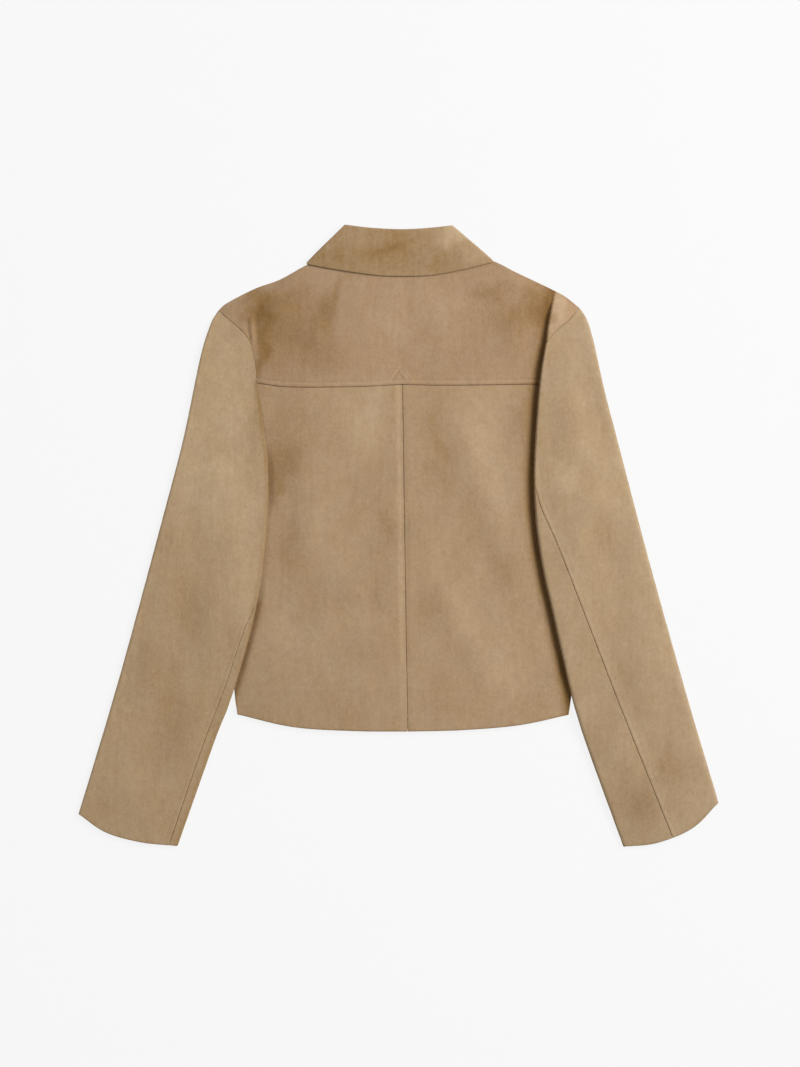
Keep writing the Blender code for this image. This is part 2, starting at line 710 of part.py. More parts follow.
def main():
    for thing in list(bpy.data.objects):
        bpy.data.objects.remove(thing, do_unlink=True)
    collection = bpy.data.collections.new("suede_jacket")
    bpy.context.scene.collection.children.link(collection)
    finishes = {name: material(name) for name in COLOURS}
    build_back(collection, finishes)
    build_front(collection, "right", finishes["suede_shade"], LOWER_LAP)
    build_front(collection, "left", finishes["suede_shade"], UPPER_LAP)
    build_collar(collection, finishes)
    for side in SLEEVES:
        build_sleeve(collection, side, finishes["suede"], finishes["suede_shade"])
    build_buttons(collection, finishes["horn"])


main()
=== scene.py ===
"""A cropped suede jacket laid flat on its front, with its back up: the visible pieces.

Each cut piece is a fine grid laid on the piece's own lines, with turned hems, rolled folds,
pressed seams and soft creases, then given its thickness. +X is the wearer's right sleeve, +Y the
collar and +Z up. Plan points, widths and heights are in millimetres.
"""
import math
from functools import partial

import bmesh
import bpy
import numpy as np
from mathutils import Matrix, Vector


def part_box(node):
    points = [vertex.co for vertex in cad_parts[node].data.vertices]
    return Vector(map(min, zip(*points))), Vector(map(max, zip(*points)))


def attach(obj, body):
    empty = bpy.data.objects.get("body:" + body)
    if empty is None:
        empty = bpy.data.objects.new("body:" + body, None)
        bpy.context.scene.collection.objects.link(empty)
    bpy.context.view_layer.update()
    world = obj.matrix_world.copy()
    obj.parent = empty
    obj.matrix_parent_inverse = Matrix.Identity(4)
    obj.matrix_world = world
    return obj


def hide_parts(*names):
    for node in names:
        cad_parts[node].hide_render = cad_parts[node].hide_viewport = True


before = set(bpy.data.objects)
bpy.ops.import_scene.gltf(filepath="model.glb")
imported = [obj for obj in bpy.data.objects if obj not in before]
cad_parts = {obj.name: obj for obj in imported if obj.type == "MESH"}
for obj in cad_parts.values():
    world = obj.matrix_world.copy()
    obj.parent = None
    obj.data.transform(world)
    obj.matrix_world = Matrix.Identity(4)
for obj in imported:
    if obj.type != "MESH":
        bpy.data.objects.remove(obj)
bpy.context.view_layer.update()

MM = 0.001

# ---- sizes

SUEDE = 1.1  # thickness of the suede
HALF = SUEDE / 2
SEAM_GAP = 0.3  # between two sewn pieces
LAYER = SUEDE + SEAM_GAP  # from the middle of one layer to the middle of the next
FLOOR = HALF  # middle of a layer that lies on the surface
TURN = 0.75  # radius of a turned hem, in the middle of the suede
DOUBLED = 2 * TURN  # height that a turned hem adds
SEAM_ROLL = 0.5  # radius of a panel's edge where it dives into a seam
SEAM_TUCK = 1.0  # depth of the seam allowance below that roll

UPPER = 5.6  # middle of the back, over the fronts
CROWN = 2.9  # fullness of the back over the lapped fronts
SIDE_STACK = 4.3  # from the front to the back beside a side seam
SIDE_ROLL = 20.0  # width over which the back comes down to a side seam
SHOULDER_ROLL = 14.0  # and to a shoulder seam
OVER_BACK = 0.5  # air between a sleeve and the back it lies on
SLEEVE_FALL = 34.0  # width over which a sleeve comes down off the body
FOLD_REACH = 40.0  # how far past the body's edge a sleeve's top stays lifted
SLEEVE_FULL = {"left": 6.8, "right": 8.6}  # height of a sleeve, from layer to layer
CUFF_FULL = 5.8  # the same at the cuff
SLEEVE_CROWN = 1.6  # how much higher the middle of a sleeve is
LEAST_ROLL = 0.9  # smallest radius of a sleeve's fold
CRISP_FOLD = 1.3  # how far a fold rolls out, seen from above
HEAD_REACH = {"left": 125.0, "right": 40.0}  # how far a sleeve rises from its armhole seam

CENTRE = 5.0  # X of the centre back, at the yoke
LAP = 20.0  # how far each front passes the centre
LAP_CLEAR = 26.0  # the fronts are lifted as far as this from the centre
LAP_RAMP = 18.0  # width over which they come down again
LOWER_LAP = 2.7  # right front, over the buttons
UPPER_LAP = 5.5  # left front, over the turned edge of the right one

LEAF_LIFT = LAYER + DOUBLED + 0.3  # middle of the collar leaf over the yoke
ROLL_LIFT = 9.6  # middle of the leaf where it rolls over the stand
NECK_FRONT = FLOOR + LAYER + DOUBLED  # middle of the fronts over the leaf's front parts
LEAF_ZONE_Y = (178.0, 202.0)  # where the fronts rise to that height
LEAF_ZONE_X = (150.0, 116.0)  # the same, as distances from the centre

FINE, MIDDLE, COARSE = 0.55, 2.2, 4.0  # mesh steps beside a seam, on a panel, out of sight
SEAM_INSET = 0.08  # half of the gap that shows at a seam
HEM_DEPTH = 14.0
STITCH_FROM_SEAM = 5.0
YOKE_STITCH = 4.4  # from the yoke seam to its stitches
STITCH_STEP, STITCH_LONG, STITCH_WIDE, STITCH_LIFT = 3.2, 2.5, 0.62, 0.1
BAR_TACKS = (-139.5, -146.5)  # Y of the short bars that end the centre back's stitches
STITCHED_FROM = {"left": 0.60, "right": 0.36}  # where an elbow seam's stitches come out, along it
ELBOW_STRENGTH = {"left": 0.5, "right": 0.9}


def ease(x):
    """Smooth step from 0 to 1."""
    x = np.clip(x, 0.0, 1.0)
    return x * x * (3.0 - 2.0 * x)


def mix(a, b, f):
    return a + (b - a) * f


def bell(x, width):
    """1 at x = 0, fading out over width."""
    return np.exp(-(x / width) ** 2)


# ---- plan lines

class Line:
    """A smooth line through a few plan points, read by the fraction of its length."""

    STEPS = 12
    READ_STEP = 9.0  # chords that distances are read from

    def __init__(self, *points):
        knots = np.array(points, float)
        ends = np.vstack([2 * knots[0] - knots[1], knots, 2 * knots[-1] - knots[-2]])
        f = (np.arange(self.STEPS) / self.STEPS)[:, None]
        runs = []
        for before, start, end, after in zip(ends, ends[1:], ends[2:], ends[3:]):
            slope_in, slope_out = (end - before) / 2, (after - start) / 2
            runs.append(start * (2 * f**3 - 3 * f**2 + 1) + slope_in * (f**3 - 2 * f**2 + f)
                        + end * (3 * f**2 - 2 * f**3) + slope_out * (f**3 - f**2))
        self.lay(np.vstack(runs + [knots[-1:]]))

    def lay(self, points):
        self.points = points
        steps = np.linalg.norm(np.diff(points, axis=0), axis=1)
        self.marks = np.concatenate([[0.0], np.cumsum(steps)])
        self.length = self.marks[-1]

    @classmethod
    def through(cls, points):
        """A line of straight runs through its points."""
        line = cls.__new__(cls)
        line.lay(points)
        return line

    @classmethod
    def joined(cls, *lines):
        """Lines end to end, with their corners kept."""
        return cls.through(np.vstack([lines[0].points] + [line.points[1:] for line in lines[1:]]))

    def reversed(self):
        return self.through(self.points[::-1].copy())

    def upto(self, stop):
        """The line from its start to a fraction of its length."""
        return self.through(self.at(np.linspace(0, stop, 40)))

    def at(self, fraction):
        goal = np.clip(fraction, 0.0, 1.0) * self.length
        return np.stack([np.interp(goal, self.marks, self.points[:, k]) for k in (0, 1)], axis=-1)

    def nearest(self, spots):
        """Distance to the line, and the fraction of its length at the nearest point."""
        count = int(np.clip(self.length / self.READ_STEP, 6, 60))
        chords = self.at(np.linspace(0, 1, count + 1))
        best = np.full(spots.shape[:-1], 1e9)
        where = np.zeros(spots.shape[:-1])
        for i, (a, b) in enumerate(zip(chords, chords[1:])):
            run = b - a
            x, y = spots[..., 0] - a[0], spots[..., 1] - a[1]
            f = np.clip((x * run[0] + y * run[1]) / (run @ run), 0.0, 1.0)
            far = np.hypot(x - f * run[0], y - f * run[1])
            nearer = far < best
            best = np.where(nearer, far, best)
            where = np.where(nearer, (i + f) / count, where)
        return best, where

    def distance(self, spots):
        return self.nearest(spots)[0]

    def x_at(self, y):
        """X where a line that runs down the garment passes the height y."""
        order = np.argsort(self.points[:, 1])
        return np.interp(y, self.points[order, 1], self.points[order, 0])

    def offset(self, aside):
        """The same line, moved aside to its left."""
        run = np.gradient(self.points, axis=0)
        run /= np.linalg.norm(run, axis=1)[:, None]
        return self.through(self.points + np.stack([-run[:, 1], run[:, 0]], axis=1) * aside)


class Patch:
    """Plan surface between four lines: start and end run across, inner and outer run along."""

    def __init__(self, start, end, inner, outer):
        self.start, self.end, self.inner, self.outer = start, end, inner, outer

    def at(self, along, across):
        v, u = np.asarray(along)[..., None], np.asarray(across)[..., None]
        ruled = mix(self.start.at(across), self.end.at(across), v)
        sides = mix(self.inner.at(along), self.outer.at(along), u)
        corners = mix(mix(self.start.at(0.0), self.start.at(1.0), u),
                      mix(self.end.at(0.0), self.end.at(1.0), u), v)
        return ruled + sides - corners

    def turned(self):
        """The same patch with along and across exchanged."""
        return Patch(self.inner, self.outer, self.start, self.end)


SLEEVE_LINES = {
    "left": {
        "armhole": Line((-162, 174), (-166, 205), (-175, 229), (-207, 258)),
        "cuff": Line((-253, -357), (-296, -352.5), (-336, -341), (-367, -320)),
        "inner": Line((-162, 174), (-149.5, 80), (-152, -10), (-166, -98), (-190.8, -186), (-210, -235),
                      (-253, -357)),
        "outer": Line((-207, 258), (-216, 241), (-227.5, 203), (-246.2, 113), (-265, 40),
                      (-314.6, -144), (-348.2, -259), (-367, -320)),
    },
    "right": {
        "armhole": Line((169.5, 219), (181, 233.5), (194.5, 245), (209, 261)),
        "cuff": Line((258.6, -357.8), (297, -353.4), (338, -336.4), (368, -307)),
        "inner": Line((169.5, 219), (164.5, 190), (161, 160), (157.4, 110), (155.8, 60), (158.5, 10),
                      (166, -40), (176.2, -85), (187.2, -134), (207.5, -215), (258.6, -357.8)),
        "outer": Line((209, 261), (217, 247), (224.5, 222), (236.5, 168), (251, 112), (288, -29),
                      (333, -190), (368, -307)),
    },
}

# Where the hidden seams run across a sleeve, as shares of its width: the back and front edges.
SLEEVE_SEAMS = {
    "left": np.array([
        (0.00, 0.00, 0.93), (0.12, 0.30, 0.72), (0.22, 0.48, 0.62), (0.35, 0.61, 0.61),
        (0.55, 0.50, 0.50), (0.75, 0.42, 0.42), (1.00, 0.36, 0.36)]),
    "right": np.array([
        (0.00, 0.00, 0.88), (0.12, 0.34, 0.76), (0.22, 0.52, 0.66), (0.35, 0.66, 0.66),
        (0.50, 0.58, 0.58), (0.65, 0.52, 0.52), (0.85, 0.44, 0.44), (1.00, 0.36, 0.36)]),
}
# The elbow seams. Short of the sleeve's inner edge a seam is out of sight, round its fold.
ELBOW_SEAMS = {
    "left": Line((-150, 190), (-135, 80), (-140, -20), (-176, -108), (-198, -173), (-226, -247),
                 (-263, -356)),
    "right": Line((160, 230), (146, 130), (159, 46), (185, -18), (229, -131), (261, -213), (316, -350)),
}
UNDERARM = 1 / 3
UNDER_START = 0.11  # where the under piece of a sleeve begins, below the armhole's top
SHOULDER_TIP = 0.995  # how far up a sleeve's armhole line the shoulder seam meets it
FRONT_HEM = -222.0
IMPRINT = -178.0  # mean Y of the hem's edge, where it shows through
SIDES = ("left", "right")
WAY = {"left": -1.0, "right": 1.0}

SIDE_FOOT = {"left": (-184.5, -206.0), "right": (196.0, -206.5)}
SIDE_BEND = {"left": (-189.0, -170.0), "right": (201.0, -170.0)}
NECK_POINT = {"left": (-79.0, 321.0), "right": (86.0, 322.0)}
SHOULDER_BEND = {
    "left": ((-104, 310.5), (-135, 293.8), (-161, 284.5), (-183, 274), (-199, 265)),
    "right": ((112, 313.6), (133.5, 302.8), (155.5, 292.6), (178, 281.8), (193, 273.6)),
}

HEM_LEFT = Line(SIDE_FOOT["left"], (-120, -220.5), (-50, -225), (CENTRE + 6, -225.5))
HEM_RIGHT = Line((CENTRE + 6, -225.5), (72, -224), (138, -218.5), SIDE_FOOT["right"])
CENTRE_BACK = Line((CENTRE, 172.5), (CENTRE + 4, -100), (CENTRE + 6, -225.5))
YOKE_SEAM_LEFT = Line((-162, 174), (-123, 169.5), (-45, 170), (CENTRE, 172.5))
YOKE_SEAM_RIGHT = Line((CENTRE, 172.5), (60, 171.5), (164, 173), (189, 174))
YOKE_SEAM = Line.joined(YOKE_SEAM_LEFT, YOKE_SEAM_RIGHT)
BACK_NECK = Line(NECK_POINT["left"], (-45, 313.5), (4, 311), (54, 314), NECK_POINT["right"])
FRONT_NECK = {
    "left": Line(NECK_POINT["left"], (-62, 285), (-34, 265), (CENTRE - 4, 258)),
    "right": Line(NECK_POINT["right"], (71, 285), (44, 265), (CENTRE + 4, 258)),
}
WEDGE_STEP, WEDGE_FOOT = 1.8, 208.0  # width of the crease's step, and its lowest Y
WEDGE_CREASE = Line((181, 284), (179.5, 277), (172.5, 245), (169.5, 219))
YOKE_PEAK = Line((-8.5, 177), (1.6, 191.5)), Line((1.6, 191.5), (13.0, 177))


def seam_mark(side, along, column):
    """A column of a sleeve's seam table at a place along the sleeve."""
    table = SLEEVE_SEAMS[side]
    return np.interp(along, table[:, 0], table[:, column])


PLAN = {side: Patch(*(SLEEVE_LINES[side][edge] for edge in ("armhole", "cuff", "inner", "outer")))
        for side in SIDES}


def elbow_reach(side, along):
    """Distance across a sleeve from its inner edge to the elbow seam, below 0 past the fold."""
    across = np.linspace(0, 1, 61)
    spots = PLAN[side].at(*np.meshgrid(along, across, indexing="ij"))
    past = WAY[side] * (spots[..., 0] - ELBOW_SEAMS[side].x_at(spots[..., 1]))
    wide = np.linalg.norm(spots[:, -1] - spots[:, 0], axis=1)
    share = [np.interp(0.0, row, across) for row in past]
    return np.where(past[:, 0] > 0, -past[:, 0], np.array(share) * wide)


def hidden_armhole(side, column, rows=6):
    """The armhole under the sleeve, from the sleeve's top down to the underarm."""
    along = UNDERARM * np.arange(rows + 1) / rows
    return PLAN[side].at(along, seam_mark(side, along, column))


UNDERARM_POINT = {side: hidden_armhole(side, 1)[-1] for side in SIDES}
SIDE_SEAM = {side: Line(UNDERARM_POINT[side], mix(UNDERARM_POINT[side], np.array(SIDE_BEND[side]), 0.5),
                        SIDE_BEND[side], SIDE_FOOT[side]) for side in SIDES}
ARMHOLE = {side: SLEEVE_LINES[side]["armhole"].upto(SHOULDER_TIP) for side in SIDES}
SHOULDER = {side: Line(ARMHOLE[side].at(1.0), *reversed(SHOULDER_BEND[side]), NECK_POINT[side])
            for side in SIDES}
FRONT_SHOULDER = {side: Line(hidden_armhole(side, 2)[0], *reversed(SHOULDER_BEND[side]), NECK_POINT[side])
                  for side in SIDES}
BODY_EDGE = {side: Line(SLEEVE_LINES[side]["armhole"].at(0.0), *hidden_armhole(side, 1)[2::2],
                        SIDE_BEND[side], SIDE_FOOT[side]) for side in SIDES}


# ---- creases and uneven surfaces

def read_cells(table, row, column, fy, fx):
    """A table's value between four cells, starting again past its last row and column."""
    rows, columns = table.shape
    near, far = ([table[(row + j) % rows, (column + i) % columns] for i in (0, 1)] for j in (0, 1))
    return mix(mix(*near, fx), mix(*far, fx), fy)


class Unevenness:
    """Smooth random heights over the plan, from -1 to 1, the same each time."""

    CELLS = 64
    START = 500.0  # cells from the table's corner to the plan's origin

    def __init__(self, seed, wide, tall):
        self.table = np.random.default_rng(seed).uniform(-1, 1, (self.CELLS, self.CELLS))
        self.wide, self.tall = wide, tall

    def at(self, spots):
        x, y = spots[..., 0] / self.wide + self.START, spots[..., 1] / self.tall + self.START
        column, row = np.floor(x).astype(int), np.floor(y).astype(int)
        return read_cells(self.table, row, column, ease(y - row), ease(x - column))


class Crease:
    """A soft ridge, or below zero a trough, along a line. It is highest along its middle."""

    REACH = 2.6  # in half widths, past which nothing is left of it

    def __init__(self, height, width, *points):
        self.height, self.width, self.line = height, width, Line(*points)

    def lift(self, spots):
        room = self.REACH * self.width
        low, high = self.line.points.min(0) - room, self.line.points.max(0) + room
        near = ((spots > low) & (spots < high)).all(-1)
        height = np.zeros(spots.shape[:-1])
        if near.any():
            far, where = self.line.nearest(spots[near])
            taper = (4 * where * (1 - where)).clip(0, 1) ** 0.5
            height[near] = self.height * taper * bell(far, self.width)
        return height


# Creases: height, half width and plan points.
BACK_CREASES = [Crease(*row) for row in (
    (1.4, 19, (60, 168), (80, 110), (98, 45), (122, -15), (146, -75)),
    (-0.6, 16, (46, 165), (54, 120), (72, 60), (96, -8), (128, -70)),
    (1.3, 18, (38, -45), (62, -90), (92, -145), (104, -190)),
    (0.9, 20, (-118, 150), (-104, 95), (-96, 20), (-108, -60)),
    (-0.7, 13, (-132, 120), (-128, 60), (-130, 0), (-140, -80)),
    (0.9, 17, (-60, -40), (-38, -100), (-46, -180)),
    (0.6, 11, (-150, -60), (-140, -120), (-146, -180)),
    (0.7, 12, (142, 160), (132, 90), (139, 10), (156, -80)),
)]
YOKE_CREASES = [Crease(*row) for row in (
    (1.1, 2.0, (-169, 252), (-168, 238), (-166, 222)),
    (-0.9, 2.4, (-174, 248), (-172, 234), (-168, 216)),
    (-1.0, 3.6, (-162, 254), (-162, 236), (-162, 212)),
    (0.8, 13, (-150, 262), (-112, 240), (-84, 214)),
    (-0.7, 11, (-132, 276), (-92, 252), (-70, 232)),
    (0.7, 14, (44, 280), (46, 240), (50, 196)),
    (-0.6, 10, (14, 290), (14, 250), (12, 214)),
    (0.8, 12, (150, 268), (134, 236), (120, 206)),
    (-0.8, 9, (170, 268), (160, 244), (156, 205)),
)]
SLEEVE_CREASES = {
    "left": [Crease(*row) for row in (
        (1.2, 15, (-196, 190), (-200, 120), (-214, 40)),
        (-0.9, 13, (-176, 150), (-178, 90), (-186, 20)),
        (-1.0, 17, (-222, -60), (-242, -120), (-262, -210), (-276, -280)),
        (0.9, 13, (-262, -40), (-276, -110), (-300, -200)),
        (0.8, 11, (-196, -90), (-214, -160), (-240, -250)),
        (-0.7, 7, (-150, 12), (-176, 2), (-204, 6)),
    )],
    "right": [Crease(*row) for row in (
        (1.3, 15, (196, 214), (198, 150), (206, 80)),
        (-1.1, 16, (178, 150), (188, 100), (216, 66)),
        (0.9, 13, (186, 66), (214, 44), (238, 34)),
        (-0.9, 14, (222, 40), (246, -20), (262, -90)),
        (0.9, 15, (258, -10), (280, -90), (306, -180)),
        (-0.9, 15, (246, -140), (264, -200), (284, -290)),
    )],
}
BROAD = Unevenness(11, 46, 60)
MEDIUM = Unevenness(12, 17, 24)
SMALL = Unevenness(13, 6.5, 8)


def uneven(spots, broad, medium, small):
    return broad * BROAD.at(spots) + medium * MEDIUM.at(spots) + small * SMALL.at(spots)


def creased(spots, creases):
    return sum(crease.lift(spots) for crease in creases)


# ---- heights of the layers

def front_height(spots):
    """Middle of a front: on the surface, and lifted over the collar's front leaf."""
    up = ease((spots[..., 1] - LEAF_ZONE_Y[0]) / (LEAF_ZONE_Y[1] - LEAF_ZONE_Y[0]))
    over = np.abs(spots[..., 0] - CENTRE)
    inward = ease((LEAF_ZONE_X[0] - over) / (LEAF_ZONE_X[0] - LEAF_ZONE_X[1]))
    return FLOOR + (NECK_FRONT - FLOOR) * up * inward


def to_side_line(spots, lines):
    """Distance to the line of the half of the body that each spot is in."""
    left, right = (lines[side].distance(spots) for side in SIDES)
    return np.where(spots[..., 0] > CENTRE, right, left)


def back_height(spots):
    """Middle of the back, without its seams: over the fronts, and down at the sides."""
    to_side, to_shoulder = to_side_line(spots, SIDE_SEAM), to_side_line(spots, SHOULDER)
    to_neck = BACK_NECK.distance(spots)
    full = CROWN * ease(to_side / 120) * ease(to_shoulder / 60) * ease(to_neck / 45)
    fade = ease(to_side / 30) * ease(to_shoulder / 25) * ease(to_neck / 20)
    wrinkles = (creased(spots, BACK_CREASES) + uneven(spots, 0.55, 0.22, 0.05)) * fade
    front = front_height(spots)
    height = mix(front + SIDE_STACK, UPPER + full + wrinkles, ease(to_side / SIDE_ROLL))
    return mix(front + LAYER, height, ease(to_shoulder / SHOULDER_ROLL))


class Field:
    """Heights worked out once over a part of the plan, and read between its marks."""

    STEP = 2.0
    REACH = {"back": ((-376, -364), (376, 364)), "left": ((-376, -364), (-130, 290)),
             "right": ((146, -364), (376, 290))}

    def __init__(self, height, part):
        low, high = self.REACH[part]
        self.low = np.array(low, float)
        columns, rows = np.ceil((np.array(high) - self.low) / self.STEP).astype(int) + 1
        x = self.low[0] + self.STEP * np.arange(columns)
        y = self.low[1] + self.STEP * np.arange(rows)
        self.table = height(np.stack(np.meshgrid(x, y), axis=-1))

    def __call__(self, spots):
        place = (spots - self.low) / self.STEP
        rows, columns = self.table.shape
        column = np.clip(np.floor(place[..., 0]).astype(int), 0, columns - 2)
        row = np.clip(np.floor(place[..., 1]).astype(int), 0, rows - 2)
        fx, fy = np.clip(place[..., 0] - column, 0, 1), np.clip(place[..., 1] - row, 0, 1)
        return read_cells(self.table, row, column, fy, fx)


def sleeve_fields(height):
    """A field for each sleeve, of height(side, spots)."""
    return {side: Field(partial(height, side), side) for side in SIDES}


BACK = Field(back_height, "back")
BESIDE_EDGE = {
    "left": SLEEVE_LINES["left"]["inner"],
    "right": Line.joined(WEDGE_CREASE, SLEEVE_LINES["right"]["inner"]),
}
# How the back sinks at a sleeve's inner edge: side, depth, where it starts and is full (as
# distances from the edge onto the body), its width below the sleeve, and the heights on the
# garment between which it fades in and fades out.
SINKS = (
    ("left", 2.8, 1.0, -2.5, 9.0, (178, 160), (140, 105)),
    ("left", 1.8, 8.0, 0.0, 9.0, (104, 84), (40, 14)),
    ("left", 2.2, 7.0, 0.0, 9.0, (-45, -75), (-185, -204)),
    ("right", 3.6, 11.0, 1.0, 16.0, (284, 244), (-150, -200)),
)


def sunk_back(spots):
    """The back, with its sinks beside and below the sleeves."""
    y = spots[..., 1]
    height = BACK(spots)
    for side, depth, start, full, below, top, foot in SINKS:
        aside = -WAY[side] * (spots[..., 0] - BESIDE_EDGE[side].x_at(y))
        across = ease((start - aside) / (start - full)) * ease(1 + (aside + 4) / below)
        rows = ease((top[0] - y) / (top[0] - top[1])) * ease((y - foot[1]) / (foot[0] - foot[1]))
        height = height - depth * across * rows
    return height


def signed_wedge(spots):
    """How far right of the yoke's crease a spot is."""
    far = WEDGE_CREASE.distance(spots)
    right = spots[..., 0] > WEDGE_CREASE.x_at(spots[..., 1])
    return np.where(right, far, -far)


def over_body(side, spots):
    """Whether a sleeve's spots are over the body."""
    return WAY[side] * (BODY_EDGE[side].x_at(spots[..., 1]) - spots[..., 0]) > 0


def sleeve_full(side, spots):
    """Middle of a sleeve's upper layer, away from its armhole."""
    reach = BODY_EDGE[side].distance(spots)
    reach = np.where(over_body(side, spots), reach, -reach)
    lift = ease((reach + FOLD_REACH) / (FOLD_REACH + SIDE_ROLL))
    base = mix(FLOOR, BACK(spots) + LAYER + OVER_BACK, lift)
    from_cuff = SLEEVE_LINES[side]["cuff"].distance(spots)
    to_edge = np.minimum(SLEEVE_LINES[side]["inner"].distance(spots),
                         SLEEVE_LINES[side]["outer"].distance(spots))
    full = mix(CUFF_FULL, SLEEVE_FULL[side], ease(from_cuff / 60)) + SLEEVE_CROWN * ease(to_edge / 45)
    wrinkles = creased(spots, SLEEVE_CREASES[side]) + uneven(spots, 0.5, 0.22, 0.05)
    return base + full + wrinkles * ease((to_edge - 3) / 16)


FULL = sleeve_fields(sleeve_full)


def raised_shoulder(spots):
    """Height of the cloth right of the yoke's crease, which lies up on the folded sleeve."""
    taper = ease(SHOULDER["right"].distance(spots) / 34)
    return mix(BACK(spots), FULL["right"](spots), taper)


def yoke_height(spots):
    step = ease((signed_wedge(spots) + WEDGE_STEP / 2) / WEDGE_STEP)
    height = sunk_back(spots) + creased(spots, YOKE_CREASES)
    above = ease((spots[..., 1] - WEDGE_FOOT) / 8)
    return mix(height, raised_shoulder(spots), step * above)


def sleeve_top(side, spots):
    """Middle of a sleeve's upper layer, rising from its armhole seam."""
    start = raised_shoulder(spots) if side == "right" else BACK(spots)
    away = SLEEVE_LINES[side]["armhole"].distance(spots)
    return mix(start, FULL[side](spots), ease(away / HEAD_REACH[side]))


TOP = sleeve_fields(sleeve_top)


def beside_height(side, spots):
    """Middle of a sleeve's lower layer where it comes down beside the body."""
    on_edge = FLOOR + SIDE_STACK + LAYER + OVER_BACK
    return mix(on_edge, FLOOR, ease(SIDE_SEAM[side].distance(spots) / SLEEVE_FALL))


BESIDE = sleeve_fields(beside_height)


def sleeve_low(side, spots, above, inner):
    """Middle of a sleeve's lower layer, which the armhole parts in two above the underarm."""
    on_back = np.where(above, inner, over_body(side, spots))
    low = np.where(on_back, sunk_back(spots) + LAYER + OVER_BACK, BESIDE[side](spots))
    return np.minimum(low, TOP[side](spots) - 2 * LEAST_ROLL)


# ---- grids and edges

def hem_turn(way):
    """A turned hem: how far out and how far in a point is, past the start of its turn."""
    turned = math.pi * TURN
    angle = np.clip(way / TURN, 0, math.pi)
    out = np.where(way < 0, way, np.where(way < turned, TURN * np.sin(angle), turned - way))
    return out, TURN * (1 - np.cos(angle))


def seam_turn(way):
    """An edge that dives into its seam."""
    quarter = math.pi / 2 * SEAM_ROLL
    angle = np.clip(way / SEAM_ROLL, 0, math.pi / 2)
    out = np.where(way < 0, way, SEAM_ROLL * np.sin(angle))
    return out, SEAM_ROLL * (1 - np.cos(angle)) + np.maximum(way - quarter, 0)


def no_turn(way):
    return way, 0.0


TURN_MARKS = {  # how an edge turns, how far that reaches, and its mesh marks
    "hem": (hem_turn, TURN + HALF, [math.pi * TURN * i / 6 for i in range(7)]
            + [math.pi * TURN + HEM_DEPTH * i / 4 for i in range(1, 5)]),
    "seam": (seam_turn, SEAM_ROLL + HALF, [math.pi / 2 * SEAM_ROLL * i / 4 for i in range(5)]
             + [math.pi / 2 * SEAM_ROLL + SEAM_TUCK]),
    "plain": (no_turn, 0.0, [0.0]),
}


def hem_edge(fine):
    return "hem", 0.0, fine


def seam_edge(fine):
    return "seam", SEAM_INSET, fine


class Marks:
    """Mesh marks from one edge of a panel to the other, each a share of its width plus a length.

    An edge is (kind, inset, fine): a hem turns under, a seam dives in and a plain edge ends. The
    inset keeps it short of its line. Beside it, fine is the width that has a close mesh.
    """

    def __init__(self, length, step, first, last):
        near, far = self.edge(*first), self.edge(*last)
        span = length - near[-1][1] - far[-1][1]
        count = max(int(round(span / step)), 2)
        rows = [(0.0, reach, drop) for drop, reach in near]
        rows += [(i / count, mix(near[-1][1], -far[-1][1], i / count), 0.0) for i in range(1, count)]
        rows += [(1.0, -reach, drop) for drop, reach in reversed(far)]
        self.share, self.extra, self.drop = (np.array(column) for column in zip(*rows))
        self.count = len(rows)

    @staticmethod
    def edge(kind, inset, fine):
        """(drop, distance from the edge line) from the edge's end to the panel's middle."""
        turn, reach, marks = TURN_MARKS[kind]
        start = inset + reach
        rows = []
        for way in reversed(marks):
            out, drop = turn(np.float64(way))
            rows.append((float(drop), start - float(out)))
        reach, step = start, FINE
        while reach < fine:
            reach += step
            step += FINE * (MIDDLE - FINE) / fine
            rows.append((0.0, reach))
        return rows


def widths(patch, along):
    """Length of a patch from side to side, at each place along it."""
    spots = patch.at(*np.meshgrid(along, np.linspace(0, 1, 25), indexing="ij"))
    return np.linalg.norm(np.diff(spots, axis=1), axis=2).sum(1)


def settle(name, shape, material):
    """An object of a finished bmesh, smooth and in one material."""
    mesh = bpy.data.meshes.new(name)
    shape.to_mesh(mesh)
    shape.free()
    mesh.shade_smooth()
    mesh.materials.append(material)
    thing = bpy.data.objects.new(name, mesh)
    bpy.context.scene.collection.objects.link(thing)
    return thing


def piece(name, spots, material, nap_and_painted_light=((), ()), flip=False):
    """A wall of cloth on a grid of points (rows, columns, 3) in millimetres."""
    rows, columns = spots.shape[:2]
    shape = bmesh.new()
    bmesh.ops.create_grid(shape, x_segments=columns - 1, y_segments=rows - 1, size=0.5, calc_uvs=False)
    thing = settle(name, shape, material)
    mesh = thing.data
    flat = np.empty(len(mesh.vertices) * 3)
    mesh.vertices.foreach_get("co", flat)
    flat = flat.reshape(-1, 3)
    column = np.rint((flat[:, 0] + 0.5) * (columns - 1)).astype(int)
    row = np.rint((flat[:, 1] + 0.5) * (rows - 1)).astype(int)
    laid = spots[row, column]
    mesh.vertices.foreach_set("co", (laid * MM).ravel())
    # The attribute holds the nap's tone with the painted shade and light.
    marks = mesh.attributes.new("nap_and_painted_light", "FLOAT", "POINT")
    marks.data.foreach_set("value", tone_with_painted_light(laid[:, :2], *nap_and_painted_light))
    if flip:
        mesh.flip_normals()
    thick = thing.modifiers.new("suede", "SOLIDIFY")
    thick.thickness = SUEDE * MM
    thick.offset = 0.0
    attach(thing, "root")
    return thing
